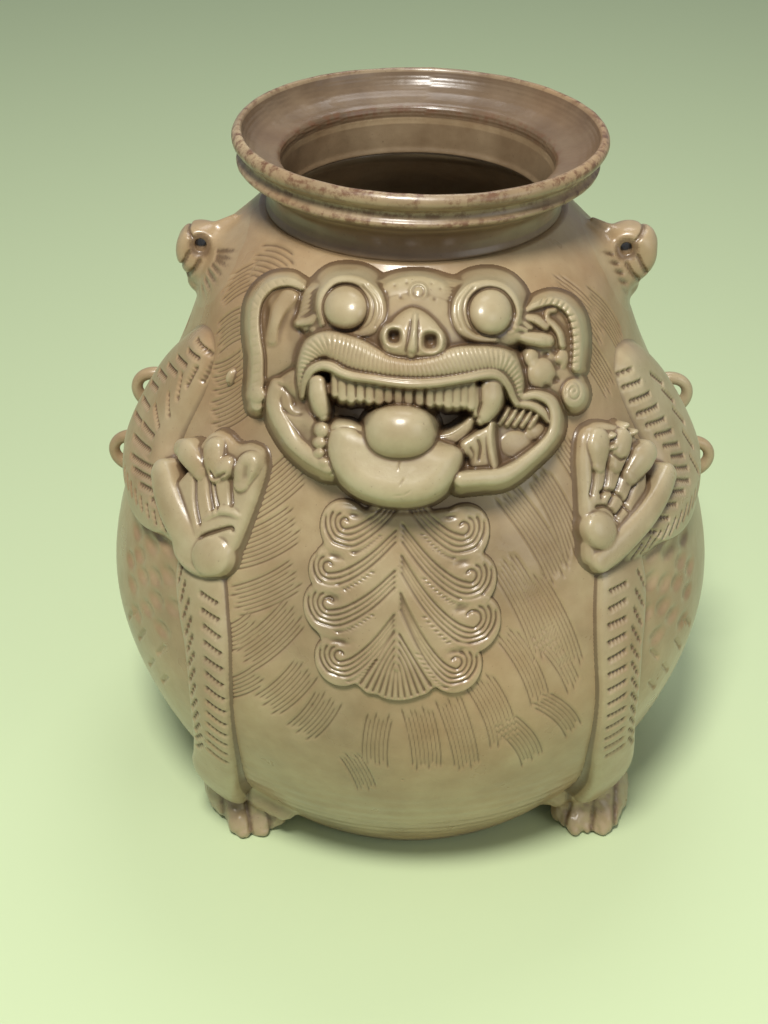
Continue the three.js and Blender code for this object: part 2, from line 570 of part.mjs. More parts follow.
function lugHole(azimuth) {
  const centre = jarPlace(azimuth, LUG_HOLE_DROP, LUG_HOLE_LIFT);
  const drill = new THREE.CylinderGeometry(LUG_HOLE_RADIUS, LUG_HOLE_RADIUS, LUG_HALF_WIDTH * 4, 14);
  return solidOf(drill.translate(centre.x, centre.y, centre.z));
}

// Digits of the paws as straps on the jar, each from the palm to its curled tip
const digits = {
  left_outer_digit: [
    [-39, 103.5, 8, 3.4, 4, 5], [-41, 94, 10.5, 4, 4.5, 6], [-44, 85, 11.5, 4.2, 4.6, 6],
    [-47.5, 77, 12, 4.3, 4.4, 7], [-51.5, 71, 10.5, 3.6, 3.4, 7],
  ],
  left_second_digit: [
    [-42.2, 82, 8.5, 2.6, 2.6, 5], [-43.6, 74, 10.5, 3.6, 3.6, 7], [-45.2, 67.5, 11.5, 4, 3.6, 9],
    [-46.8, 63, 8.5, 3.2, 2.6, 9],
  ],
  left_third_digit: [
    [-37.8, 81, 8.5, 2.6, 2.6, 5], [-38.6, 71, 10.5, 3.9, 3.8, 8], [-39.8, 63, 11, 4.2, 3.6, 10],
    [-41.2, 58, 8, 3.4, 2.6, 9],
  ],
  left_inner_digit: [
    [-33.6, 81, 8, 2.4, 2.2, 5], [-33.4, 72, 8.5, 3.4, 3, 7], [-34.2, 64.5, 8.5, 4, 3, 8],
    [-35.4, 60, 6, 3.4, 2.2, 7],
  ],
  right_outer_digit: [
    [38.5, 97.5, 8.5, 3.8, 4, 5], [43.5, 88.5, 11, 4.5, 4.6, 6], [48.5, 83, 12, 4.6, 4.6, 7],
    [53.5, 79, 12, 4.5, 4.4, 8], [58, 75.5, 10.5, 3.8, 3.4, 8],
  ],
  right_second_digit: [
    [46, 78, 9, 2.8, 2.6, 5], [48.6, 71, 11, 4, 4, 8], [50.6, 67, 11.5, 4.6, 4, 9], [53, 63.5, 9, 3.8, 3, 9],
  ],
  right_third_digit: [
    [42.4, 76, 8.5, 2.6, 2.4, 5], [43.8, 67.5, 10, 3.6, 3.4, 8], [45.2, 61.5, 10, 4, 3.4, 9],
    [47, 57.5, 7.5, 3.4, 2.4, 8],
  ],
  right_inner_digit: [
    [37, 77, 6, 2.6, 2.2, 5], [37.6, 68, 6.5, 3.2, 2.6, 6], [38.8, 61, 6.5, 3.4, 2.4, 6],
    [40.4, 56.5, 4.5, 2.8, 1.8, 5],
  ],
};
Object.entries(digits).forEach(([name, rows]) => {
  shapes[name] = (grow) => strap(jarPlace, rows, { steps: 5, sides: SMALL_SIDES, foot: 0.7, grow });
});

// Feet: a broad instep against the heel of the jar, and three toes that point forward.
// standPlace takes distances outward, forward and up from the foot's corner on the heel.
function standPlace(mirror) {
  const turn = radians(FOOT_AZIMUTH);
  const corner = new THREE.Vector3(HEEL_RADIUS * Math.sin(turn), -HEEL_RADIUS * Math.cos(turn), 0);
  return (outward, forward, up) => new THREE.Vector3(mirror * (corner.x + outward), corner.y - forward, up);
}

const toes = [
  { start: [15.7, -2.3, 9], end: [14.7, 16.7, 7], radius: TOE_RADIUS + 0.8 },
  { start: [5.7, 0.7, 9], end: [4.2, 19.7, 6.5], radius: TOE_RADIUS },
  { start: [-2.3, 0.7, 10], end: [-5.3, 13.7, 8], radius: TOE_RADIUS - 0.6 },
];

function foot(mirror, grow) {
  const place = standPlace(mirror);
  const instep = ball(place, 10.7, -3.3, 14, [15, 16, 12.8], grow, 10);
  return toes.reduce((solid, { start, end, radius }) => {
    const rows = [0, 0.5, 0.85, 1].map((share) => {
      const point = start.map((value, axis) => value + (end[axis] - value) * share);
      const size = (radius + 1.2) * (share < 0.9 ? 1 : 0.6);
      return [...point, size, size, Math.min(size, point[2] - FOOT_CLEARANCE)];
    });
    return solid.add(strap(place, rows, { steps: 3, sides: SMALL_SIDES, foot: 0.8, grow }));
  }, instep);
}
shapes.left_foot = (grow) => foot(-1, grow);
shapes.right_foot = (grow) => foot(1, grow);

// Teeth: one rounded block for each, on a gum that runs behind the bead of the lip
const gumRows = [
  [-26.5, 2.6, 11, 2, 2, 6], [-16, 1.2, 13, 2, 2, 6], [-4, -0.4, 14, 2, 2, 6], [8, 0, 13.5, 2, 2, 6],
  [20, 2.2, 12, 2, 2, 6],
];

function toothRow(grow) {
  let solid = strap(facePlace, gumRows, { steps: 5, sides: SMALL_SIDES, foot: 0.4, grow });
  for (let tooth = 0; tooth < TOOTH_COUNT; tooth += 1) {
    const [across, up, lift] = blendRows(gumRows, (tooth + 0.7) / (TOOTH_COUNT + 0.4));
    const rows = [[0.06, 1], [-0.75, 0.75]].map(([fall, size]) => [
      across, up + fall * TOOTH_LENGTH, lift + 2, TOOTH_HALF_WIDTH * size, 2.2 * size, 2.6 * size,
    ]);
    solid = solid.add(strap(facePlace, rows, { steps: 1, sides: SMALL_SIDES, foot: 0.8, grow }));
  }
  return solid;
}
shapes.tooth_row = toothRow;

// The boss on the forehead: a small ring round a domed bead
shapes.forehead_boss = (grow) => {
  const reach = BOSS_RADIUS + grow;
  const profile = [[0, -4], [reach, -4], [reach, 0.6], [reach * 0.8, 1.1 + grow], [reach * 0.62, 0.3], [0, 0.9]];
  const place = facePlace(2, 33.5, BOSS_LIFT);
  const frame = new THREE.Matrix4().makeBasis(
    new THREE.Vector3(1, 0, 0), faceOut, new THREE.Vector3().crossVectors(new THREE.Vector3(1, 0, 0), faceOut));
  const turned = new THREE.LatheGeometry(profile.map(([radius, up]) => new THREE.Vector2(radius, up)), COARSE_SIDES);
  return solidOf(turned.applyMatrix4(frame.setPosition(place)));
};

// A pellet of clay pressed on the left shoulder
shapes.shoulder_pellet = (grow) => ball(jarPlace, -51, 44.5, 0.8, [1.6, 2.6, 1.8], grow, 8);

// Loops: a bent roll of clay whose ends are pressed to the flank
function flankLoop(azimuth, drop) {
  const points = [];
  for (let step = 0; step <= 8; step += 1) {
    const turn = (step / 8 - 0.5) * Math.PI * 1.08;
    points.push(jarPlace(azimuth, drop - LOOP_HALF_SPAN * Math.sin(turn), LOOP_REACH * Math.cos(turn)));
  }
  const section = new THREE.Shape();
  section.absarc(0, 0, LOOP_STOCK_RADIUS, 0, 2 * Math.PI);
  const extrudePath = new THREE.CatmullRomCurve3(points);
  return new THREE.ExtrudeGeometry(section, { steps: 9, curveSegments: 3, bevelEnabled: false, extrudePath });
}
for (const [side, azimuth] of [['left', -90], ['right', 90]]) {
  shapes[`${side}_upper_loop`] = () => solidOf(flankLoop(azimuth, UPPER_LOOP_DROP));
  shapes[`${side}_lower_loop`] = () => solidOf(flankLoop(azimuth, LOWER_LOOP_DROP));
}

// The order of luting: each piece is fitted round the ones named beside it
const fitting = {
  beard_plaque: [],
  left_leg: [],
  right_leg: [],
  left_foot: ['left_leg'],
  right_foot: ['right_leg'],
  left_arm: ['left_leg'],
  right_arm: ['right_leg'],
  left_palm: ['left_arm', 'left_leg'],
  right_palm: ['right_arm', 'right_leg'],
  brow_plate: [],
  left_eye_socket: ['brow_plate'],
  right_eye_socket: ['brow_plate'],
  left_eyeball: ['brow_plate', 'left_eye_socket'],
  right_eyeball: ['brow_plate', 'right_eye_socket'],
  nose: ['brow_plate'],
  moustache_lip: ['brow_plate', 'nose', 'left_eye_socket', 'right_eye_socket', 'left_eyeball', 'right_eyeball'],
  upper_lip_bead: ['moustache_lip'],
  tooth_row: ['moustache_lip', 'upper_lip_bead', 'left_fang', 'right_fang'],
  left_fang: ['moustache_lip', 'upper_lip_bead'],
  right_fang: ['moustache_lip', 'upper_lip_bead'],
  lower_lip: ['beard_plaque'],
  pearl: ['lower_lip', 'tooth_row'],
  left_jaw_flare: ['lower_lip', 'moustache_lip', 'upper_lip_bead', 'left_fang'],
  right_jaw_flare: ['lower_lip', 'moustache_lip', 'upper_lip_bead', 'right_fang'],
  left_cheek_tuft: ['brow_plate', 'moustache_lip', 'left_eye_socket'],
  right_cheek_tuft: ['brow_plate', 'moustache_lip', 'right_eye_socket'],
  left_ear: ['left_jaw_flare', 'brow_plate', 'left_cheek_tuft', 'moustache_lip', 'left_eye_socket'],
  right_ear: ['right_jaw_flare', 'brow_plate', 'right_cheek_tuft', 'moustache_lip', 'right_eye_socket'],
  forehead_boss: ['brow_plate'],
  shoulder_pellet: ['left_arm'],
  left_shoulder_lug: [],
  right_shoulder_lug: [],
  left_upper_loop: ['left_arm'],
  left_lower_loop: ['left_arm'],
  right_upper_loop: ['right_arm'],
  right_lower_loop: ['right_arm'],
};
for (const side of ['left', 'right']) {
  const earlier = [`${side}_arm`, `${side}_leg`];
  for (const digit of ['outer', 'second', 'third', 'inner']) {
    fitting[`${side}_${digit}_digit`] = [...earlier];
    earlier.push(`${side}_${digit}_digit`);
  }
  fitting[`${side}_palm`] = earlier;
}

const cuts = {
  nose: [[-6, 18.6, 1], [6.2, 16.8, 1.12]].map(([across, up, size]) => ball(
    facePlace, across, up, 24, [NOSTRIL_RADIUS * size, NOSTRIL_RADIUS * size * 1.1, NOSTRIL_DEPTH], 0, COARSE_SIDES)),
  left_shoulder_lug: [lugHole(-90)],
  right_shoulder_lug: [lugHole(90)],
};

function mainBody(solid) {
  const bodies = solid.decompose();
  return bodies.reduce((largest, body) => (body.volume() > largest.volume() ? body : largest));
}

for (const [name, neighbours] of Object.entries(fitting)) {
  let solid = shapes[name](0).subtract(jarFit);
  for (const neighbour of neighbours) {
    solid = solid.subtract(shapes[neighbour](SEAT_GAP));
  }
  for (const cut of cuts[name] ?? []) {
    solid = solid.subtract(cut);
  }
  addPiece(name, mainBody(solid), 'relief');
}

export default zun;
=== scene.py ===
"""A celadon jar made as a crouching beast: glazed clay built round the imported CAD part.

Lengths are millimetres until mesh_object() turns them into metres. The face looks along -Y.
Relief is worked on clay sheets: grids of heights over the face plane or over the wall of the jar.
Each piece has its own layer on a sheet, and becomes a closed solid of its own.
"""

import math

import bpy
import numpy as np
from mathutils import Matrix, Vector


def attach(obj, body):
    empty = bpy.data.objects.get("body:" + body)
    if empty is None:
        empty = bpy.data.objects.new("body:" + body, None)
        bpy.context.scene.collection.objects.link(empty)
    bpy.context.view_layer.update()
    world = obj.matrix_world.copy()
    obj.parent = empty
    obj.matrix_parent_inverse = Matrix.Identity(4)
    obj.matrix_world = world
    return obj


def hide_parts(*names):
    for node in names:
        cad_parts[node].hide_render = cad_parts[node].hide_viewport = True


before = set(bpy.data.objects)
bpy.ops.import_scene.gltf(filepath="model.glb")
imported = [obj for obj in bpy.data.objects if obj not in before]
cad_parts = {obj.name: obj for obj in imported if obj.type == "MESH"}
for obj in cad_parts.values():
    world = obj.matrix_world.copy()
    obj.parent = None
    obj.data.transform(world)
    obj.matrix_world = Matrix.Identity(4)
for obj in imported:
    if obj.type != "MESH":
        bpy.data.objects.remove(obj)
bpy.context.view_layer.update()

METRES = 0.001
# How deep a piece is set into the wall, how softly its glaze joins the wall, and the height of a bare cell
ROOT_DEPTH = 1.5
GLAZE_RADIUS = 1.5
BURIED = -9.0
# Clay on a sheet that stands out less than this is left out, because the wall itself shows there
LEAST_LIFT = 0.04
# How much the glaze softens the clay under it
GLAZE_BLUR = 0.25
# The blurs that a surface is compared with, to find its fine cuts and its broad hollows
FINE_BLUR = 0.9
BROAD_BLUR = 3.5

# Outer outline of the thrown jar as (radius, height), and the seat that carries the neck
JAR_STATIONS = [
    (80.2, 0), (88.4, 10), (110.7, 45), (123.4, 95), (112, 145), (89.2, 195), (73.3, 232), (57, 250),
]
SEAT_HEIGHT = 250
JAR_WALL = 7
JAR_FLOOR = 9
THROAT_RADIUS = 48.8

FACE_TILT = math.radians(30)


# Curves and surfaces
def spline(rows, per_span=10, closed=False):
    """Points of a Catmull-Rom curve through rows of numbers."""
    rows = np.asarray(rows, float)
    if closed:
        ring = np.vstack([rows[-1], rows, rows[0], rows[1]])
    else:
        ring = np.vstack([2 * rows[0] - rows[1], rows, 2 * rows[-1] - rows[-2]])
    a, b, c, d = ring[:-3], ring[1:-2], ring[2:-1], ring[3:]
    t = np.linspace(0, 1, per_span, endpoint=False)[:, None, None]
    points = b + 0.5 * ((c - a) * t + (2 * a - 5 * b + 4 * c - d) * t**2 + (3 * b - a - 3 * c + d) * t**3)
    points = points.transpose(1, 0, 2).reshape(-1, rows.shape[1])
    return points if closed else np.vstack([points, rows[-1]])


def centripetal(stations, per_span=30):
    """The same centripetal curve that the CAD jar is turned from."""
    rows = np.asarray(stations, float)
    ring = np.vstack([2 * rows[0] - rows[1], rows, 2 * rows[-1] - rows[-2]])
    points = []
    for p0, p1, p2, p3 in zip(ring, ring[1:], ring[2:], ring[3:]):
        t0, t1, t2 = (np.sqrt(np.linalg.norm(q - p)) for p, q in ((p0, p1), (p1, p2), (p2, p3)))
        start = ((p1 - p0) / t0 - (p2 - p0) / (t0 + t1) + (p2 - p1) / t1) * t1
        end = ((p2 - p1) / t1 - (p3 - p1) / (t1 + t2) + (p3 - p2) / t2) * t1
        t = np.linspace(0, 1, per_span, endpoint=False)[:, None]
        points.append(p1 + start * t + (3 * (p2 - p1) - 2 * start - end) * t**2
                      + (2 * (p1 - p2) + start + end) * t**3)
    return np.vstack([*points, rows[-1]])


def run_along(curve):
    """How far along a curve each of its points is."""
    return np.concatenate([[0], np.cumsum(np.linalg.norm(np.diff(curve, axis=0), axis=1))])


jar_curve = centripetal(JAR_STATIONS)


def jar_radius(height):
    """The outer radius of the jar."""
    return np.interp(height, jar_curve[:, 1], jar_curve[:, 0])


def jar_place(azimuth, height, lift):
    """Points over the wall of the jar. azimuth is in degrees from the front."""
    slope = jar_radius(height + 1) - jar_radius(height - 1)
    length = np.hypot(2, slope)
    reach = jar_radius(height) + lift * 2 / length
    turn = np.radians(azimuth)
    return np.stack([reach * np.sin(turn), -reach * np.cos(turn), height - lift * slope / length], -1)


face_up = np.array([0, math.sin(FACE_TILT), math.cos(FACE_TILT)])
face_centre = np.array([0, -82.3, 215])
VIEWER = np.array([0, -539.6, 469.9])
# The wall is looked for between these distances from the plane of the face, by halving them so many times
FACE_BEHIND = -80.0
FACE_BEFORE = 40.0
HALVINGS = 20


def face_place(across, up, lift):
    """Points over the jar, lifted from its wall towards someone who looks the face in the eye."""
    plane = face_centre + across[..., None] * np.array([1, 0, 0]) + up[..., None] * face_up
    sight = VIEWER - plane
    sight /= np.linalg.norm(sight, axis=-1)[..., None]
    inside, outside = np.full(across.shape, FACE_BEHIND), np.full(across.shape, FACE_BEFORE)
    for _ in range(HALVINGS):
        depth = (inside + outside) / 2
        probe = plane + depth[..., None] * sight
        beyond = np.hypot(probe[..., 0], probe[..., 1]) > jar_radius(probe[..., 2])
        outside = np.where(beyond, depth, outside)
        inside = np.where(beyond, inside, depth)
    return plane + (outside + lift)[..., None] * sight


def smooth_max(a, b, radius):
    """The greater of a and b, with a soft step where they are less than radius apart."""
    near = np.clip(radius - np.abs(a - b), 0, None) / radius
    return np.maximum(a, b) + near**2 * radius / 4


def blur(grid, sigma):
    """A Gaussian blur, sigma in cells."""
    reach = int(3 * sigma + 1)
    kernel = np.exp(-0.5 * (np.arange(-reach, reach + 1) / sigma) ** 2)
    kernel /= kernel.sum()
    for axis in (0, 1):
        padded = np.pad(grid, [(reach, reach) if k == axis else (0, 0) for k in (0, 1)], mode="edge")
        grid = sum(
            weight * np.take(padded, range(step, step + grid.shape[axis]), axis)
            for step, weight in enumerate(kernel))
    return grid


# Meshes
def mesh_object(name, points, faces, material, normals=None, **attributes):
    """An object made of quads. Its attributes have a number for each point, for the glaze to read."""
    mesh = bpy.data.meshes.new(name)
    faces = np.asarray(faces, np.int32)
    mesh.vertices.add(len(points))
    mesh.vertices.foreach_set("co", (np.asarray(points) * METRES).astype(np.float32).ravel())
    mesh.loops.add(faces.size)
    mesh.loops.foreach_set("vertex_index", faces.ravel())
    mesh.polygons.add(len(faces))
    mesh.polygons.foreach_set("loop_start", np.arange(0, faces.size, 4, dtype=np.int32))
    mesh.update(calc_edges=True)
    for key, values in attributes.items():
        layer = mesh.attributes.new(key, "FLOAT", "POINT")
        layer.data.foreach_set("value", np.asarray(values, np.float32).ravel())
    mesh.shade_smooth()
    if normals is not None:
        mesh.normals_split_custom_set_from_vertices(normals)
    mesh.materials.append(material)
    obj = bpy.data.objects.new(name, mesh)
    bpy.context.scene.collection.objects.link(obj)
    return obj


def turned(name, profile, columns, material, relief, bend=None, **attributes):
    """A closed solid of revolution. relief moves each point outward, and bend moves them all at the end."""
    rows = len(profile)
    azimuth = np.linspace(0, 2 * math.pi, columns, endpoint=False)
    along = np.roll(profile, -1, 0) - np.roll(profile, 1, 0)
    along /= np.linalg.norm(along, axis=1)[:, None]
    radius = profile[:, :1] + relief * along[:, 1:]
    height = profile[:, 1:] - relief * along[:, :1]
    points = np.stack([radius * np.sin(azimuth), -radius * np.cos(azimuth), height], -1).reshape(-1, 3)
    if bend is not None:
        points = bend(points)
    row, column = np.meshgrid(np.arange(rows), np.arange(columns), indexing="ij")
    after, beside = (row + 1) % rows, (column + 1) % columns
    faces = np.stack([row * columns + column, row * columns + beside,
                      after * columns + beside, after * columns + column], -1).reshape(-1, 4)
    fields = {key: (value + np.zeros((rows, columns))).ravel() for key, value in attributes.items()}
    return mesh_object(name, points, faces, material, **fields)


def skin(name, field, low, pitch, material, **attributes):
    """A closed mesh round the space where field is above 0, by surface nets."""
    inside = field > 0
    shape = np.array(field.shape) - 1
    total = np.zeros((*shape, 3))
    count = np.zeros(tuple(shape))
    corners = [np.array(c) for c in np.ndindex(2, 2, 2)]

    def at(grid, corner):
        return grid[tuple(slice(c, c + n) for c, n in zip(corner, shape))]

    for axis in range(3):
        for corner in corners:
            if corner[axis]:
                continue
            other = corner.copy()
            other[axis] = 1
            a, b = at(field, corner), at(field, other)
            crossed = at(inside, corner) != at(inside, other)
            share = np.where(crossed, a / np.where(crossed, a - b, 1), 0)
            for k in range(3):
                total[..., k] += crossed * (corner[k] + (share if k == axis else 0))
            count += crossed
    used = count > 0
    index = np.full(tuple(shape), -1)
    index[used] = np.arange(used.sum())
    spots = np.argwhere(used) + total[used] / count[used][:, None]
    faces = []
    for axis in range(3):
        b, c = (axis + 1) % 3, (axis + 2) % 3
        here = inside.take(range(0, inside.shape[axis] - 1), axis)
        there = inside.take(range(1, inside.shape[axis]), axis)
        starts = np.argwhere(here != there)
        beside = starts[:, [b, c]]
        starts = starts[((beside > 0) & (beside < shape[[b, c]])).all(axis=1)]
        outward = here[tuple(starts.T)]
        ring = []
        for db, dc in ((-1, -1), (0, -1), (0, 0), (-1, 0)):
            cell = starts.copy()
            cell[:, b] += db
            cell[:, c] += dc
            ring.append(index[tuple(cell.T)])
        quads = np.stack(ring, 1)
        quads[~outward] = quads[~outward][:, ::-1]
        faces.append(quads)
    nearest = tuple(np.round(spots).astype(int).T)
    fields = {key: value[nearest] for key, value in attributes.items()}
    return mesh_object(name, spots * pitch + low, np.vstack(faces), material, **fields)


# Clay sheets
class Sheet:
    """A grid over a surface. layers holds the heights of each piece, and seams how softly some join."""

    def __init__(self, low, high, pitch, place):
        self.low = np.array(low, float)
        self.pitch = pitch
        self.place = place
        sizes = [int((top - bottom) / pitch) + 1 for bottom, top in zip(low, high)]
        axes = [bottom + pitch * np.arange(size) for bottom, size in zip(low, sizes)]
        self.u, self.v = np.meshgrid(*axes)
        self.layers = {}
        self.seams = {}

    def window(self, points, reach):
        """The cells less than reach from the box round some points."""
        lo = np.clip(((points.min(0) - reach - self.low) / self.pitch).astype(int), 0, None)
        hi = ((points.max(0) + reach - self.low) / self.pitch).astype(int) + 2
        return slice(lo[1], hi[1]), slice(lo[0], hi[0])

    def trace(self, path, reach, closed=False):
        """The window round a path, and in it the distance, the place along the path in mm, the side,
        and the columns of the path after the first two."""
        curve = spline(path, 8, closed)
        if closed:
            curve = np.vstack([curve, curve[0]])
        win = self.window(curve[:, :2], reach)
        u, v = self.u[win], self.v[win]
        best = np.full(u.shape, np.inf)
        spot, side = np.zeros(u.shape), np.zeros(u.shape)
        for order, (a, b) in enumerate(zip(curve, curve[1:])):
            du, dv = b[:2] - a[:2]
            length = max(du * du + dv * dv, 1e-9)
            t = np.clip(((u - a[0]) * du + (v - a[1]) * dv) / length, 0, 1)
            gap = (u - a[0] - t * du) ** 2 + (v - a[1] - t * dv) ** 2
            closer = gap < best
            best = np.where(closer, gap, best)
            spot = np.where(closer, order + t, spot)
            side = np.where(closer, np.sign(du * (v - a[1]) - dv * (u - a[0])), side)
        knots = np.arange(len(curve))
        columns = [np.interp(spot, knots, curve[:, k]) for k in range(2, curve.shape[1])]
        return win, np.sqrt(best), np.interp(spot, knots, run_along(curve[:, :2])), side, columns

    def inward(self, outline):
        """The window round a closed outline, and how far inside it each cell is."""
        win, gap, _, _, _ = self.trace(outline, 3, closed=True)
        curve = spline(outline, 8, closed=True)
        u, v = self.u[win], self.v[win]
        crossings = np.zeros(u.shape, bool)
        for a, b in zip(curve, np.roll(curve, -1, 0)):
            spans = (a[1] > v) != (b[1] > v)
            cross = a[0] + (v - a[1]) * (b[0] - a[0]) / (b[1] - a[1] if b[1] != a[1] else 1)
            crossings ^= spans & (u < cross)
        return win, np.where(crossings, gap, -gap)

    def layer(self, piece):
        return self.layers.setdefault(piece, np.full(self.u.shape, BURIED))

    def add(self, piece, win, heights, radius=0.6):
        """Joins new heights to those of a piece, as softly as radius says."""
        layer = self.layer(piece)
        layer[win] = smooth_max(layer[win], heights, radius)

    def roll(self, piece, rows, radius=1.0, square=2.0, slope=4.0):
        """A roll of clay along rows of (u, v, half width, lift of its sides, crown over them)."""
        rows = np.asarray(rows, float)
        win, gap, run, side, (half, lift, crown) = self.trace(rows, rows[:, 2].max() + 2 + 6 / slope)
        share = np.clip(gap / half, 0, 1)
        heights = lift + crown * (1 - share**square) ** (1 / square) - slope * np.clip(gap - half, 0, None)
        self.add(piece, win, heights, radius)
        return win, gap, run, side, half

    def plate(self, piece, outline, lift, edge, radius=1.0, tilt=(0, 0), slope=4.0):
        """A pad of clay with a rounded edge. tilt is how its lift grows across and up."""
        win, inside = self.inward(outline)
        middle = np.mean(outline, axis=0)
        lift = lift + tilt[0] * (self.u[win] - middle[0]) + tilt[1] * (self.v[win] - middle[1])
        share = np.clip(inside / edge, 0, 1)
        heights = lift - edge * 0.9 * (1 - np.sqrt(1 - (1 - share) ** 2)) + slope * np.clip(inside, None, 0)
        self.add(piece, win, heights, radius)

    def spot(self, centre, half, reach, turn=0):
        """The window round a mark, and how far along it and across it each cell is, in its half sizes."""
        win = self.window(np.array([centre], float), reach)
        du, dv = self.u[win] - centre[0], self.v[win] - centre[1]
        c, s = math.cos(math.radians(turn)), math.sin(math.radians(turn))
        return win, (du * c + dv * s) / half[0], (dv * c - du * s) / half[1]

    def ball(self, piece, centre, half, lift, out, power=2.0, radius=1.0, slope=4.0):
        """A mound of clay that stands out over its rim, with its half sizes across and up."""
        win, p, q = self.spot(centre, half, max(half) + 2)
        reach = (np.abs(p) ** power + np.abs(q) ** power) ** (1 / power)
        heights = lift + out * np.sqrt(np.clip(1 - reach**2, 0, None))
        self.add(piece, win, heights - slope * min(half) * np.clip(reach - 1, 0, None), radius)

    def groove(self, piece, path, width, depth):
        """A line cut in one piece, that runs out at both ends."""
        win, gap, run, _, _ = self.trace(path, width * 2.5)
        ends = np.clip(np.minimum(run, run.max() - run) / (2 * width) + 0.35, 0, 1)
        self.layer(piece)[win] -= depth * np.exp(-((gap / width) ** 2)) * ends

    def dent(self, piece, centre, half, depth, turn=0, power=4.0):
        """A pressed mark, half = its half sizes, turned in the plane."""
        win, p, q = self.spot(centre, half, max(half) * 1.6, turn)
        self.layer(piece)[win] -= depth * np.exp(-(np.abs(p) ** power + np.abs(q) ** power))

    def gouge(self, piece, centre, half, depth, turn=0, teeth=6):
        """A mark pressed with the corner of a comb. It deepens across its width, up to a steep side."""
        win, p, q = self.spot(centre, half, max(half) + 1, turn)
        ends = np.clip((1 - np.abs(p)) / 0.2, 0, 1)
        wedge = np.clip((q + 1) / 1.6, 0, 1) * np.clip((1 - q) / 0.4, 0, 1)
        toothed = 0.75 + 0.25 * np.cos(p * math.pi * teeth)
        self.layer(piece)[win] -= depth * ends * wedge * toothed

    def mark(self, piece, start, end, width, depth, tooth=1.7):
        """One gouge from start to end, with a tooth of the comb every so many mm."""
        (u0, v0), (u1, v1) = start, end
        length = math.hypot(u1 - u0, v1 - v0)
        turn = math.degrees(math.atan2(v1 - v0, u1 - u0))
        middle = ((u0 + u1) / 2, (v0 + v1) / 2)
        self.gouge(piece, middle, (length / 2, width / 2), depth, turn, round(length / tooth))

    def strokes(self, piece, path, count, half, depth, turn, teeth=6):
        """A row of gouges along a path. turn runs from the angle of the first one to that of the last."""
        path = spline(path, 8)
        run = run_along(path)
        for order in range(count):
            reach = run[-1] * (order + 0.5) / count
            spot = [np.interp(reach, run, path[:, k]) for k in (0, 1)]
            angle = turn[0] + (turn[1] - turn[0]) * order / (count - 1)
            self.gouge(piece, spot, half, depth, angle + 3 * math.sin(2.1 * order), teeth)

    def fire(self, names, material, seam=0.8):
        """Joins the layers under the glaze in the order of names, and makes a closed solid of each piece."""
        surface, owner = np.full(self.u.shape, BURIED), np.full(self.u.shape, -1)
        for index, piece in enumerate(names):
            layer = self.layers[piece]
            owner = np.where(layer > surface, index, owner)
            surface = smooth_max(surface, layer, self.seams.get(piece, seam))
        surface = smooth_max(surface, np.zeros_like(surface), GLAZE_RADIUS)
        surface = blur(surface, GLAZE_BLUR / self.pitch)
        shown = surface > LEAST_LIFT
        shown[[0, -1]] = shown[:, [0, -1]] = False
        top = self.place(self.u, self.v, surface)
        bottom = self.place(self.u, self.v, np.full_like(surface, -ROOT_DEPTH))
        normals = np.cross(np.gradient(top, axis=1), np.gradient(top, axis=0))
        normals /= np.linalg.norm(normals, axis=-1)[..., None] + 1e-12
        # fine finds cuts, where the glaze pools brown; broad finds crests, where it thins paler, and broad
        # hollows, which get painted shade
        fine = surface - blur(surface, FINE_BLUR / self.pitch)
        broad = surface - blur(surface, BROAD_BLUR / self.pitch)
        cell_shown = shown[:-1, :-1] & shown[1:, :-1] & shown[:-1, 1:] & shown[1:, 1:]
        for index, piece in enumerate(names):
            faces, used = closed_cells(cell_shown & (owner[:-1, :-1] == index))
            points = np.vstack([top.reshape(-1, 3)[used], bottom.reshape(-1, 3)[used]])
            outward = normals.reshape(-1, 3)[used]
            obj = mesh_object(
                "glazed_" + names[piece], points, faces, material, np.vstack([outward, -outward]),
                fine=np.tile(fine.ravel()[used], 2), broad=np.tile(broad.ravel()[used], 2))
            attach(obj, "root")
            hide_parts(names[piece])


def closed_cells(cells):
    """Quads that close round a set of grid cells: top, bottom and walls. Also the corners that they use."""
    columns = cells.shape[1] + 1
    row, column = np.nonzero(cells)
    ring = np.stack([row * columns + column, row * columns + column + 1,
                     (row + 1) * columns + column + 1, (row + 1) * columns + column], 1)
    used = np.unique(ring)
    ring = np.searchsorted(used, ring)
    below = ring + len(used)
    walls = []
    framed = np.pad(cells, 1)
    for corner, (dr, dc) in enumerate(((-1, 0), (0, 1), (1, 0), (0, -1))):
        bare = ~framed[row + 1 + dr, column + 1 + dc]
        a, b = ring[bare, corner], ring[bare, (corner + 1) % 4]
        walls.append(np.stack([b, a, a + len(used), b + len(used)], 1))
    return np.vstack([ring, below[:, ::-1], *walls]), used


def round_jar(middle):
    """A place function for a sheet wrapped on the jar: across in mm from an azimuth, and height."""
    def place(across, height, lift):
        return jar_place(middle + np.degrees(across / jar_radius(height)), height, lift)
    return place


# Glaze
def ramp(tree, source, stops):
    """source turned into colours. stops are (position, colour)."""
    item = tree.nodes.new("ShaderNodeValToRGB")
    elements = item.color_ramp.elements
    while len(elements) < len(stops):
        elements.new(0.5)
    for element, (position, color) in zip(elements, stops):
        element.position = position
        element.color = (*color, 1)
    tree.links.new(source, item.inputs["Fac"])
    return item.outputs["Color"]


def mix(tree, share, a, b, blend="MIX"):
    """Colour a, with its share of colour b. Either is a socket or a colour."""
    item = tree.nodes.new("ShaderNodeMix")
    item.data_type = "RGBA"
    item.blend_type = blend
    for socket, value in ((item.inputs[0], share), (item.inputs[6], a), (item.inputs[7], b)):
        if isinstance(value, bpy.types.NodeSocket):
            tree.links.new(value, socket)
        else:
            socket.default_value = (*value, 1)
    return item.outputs[2]


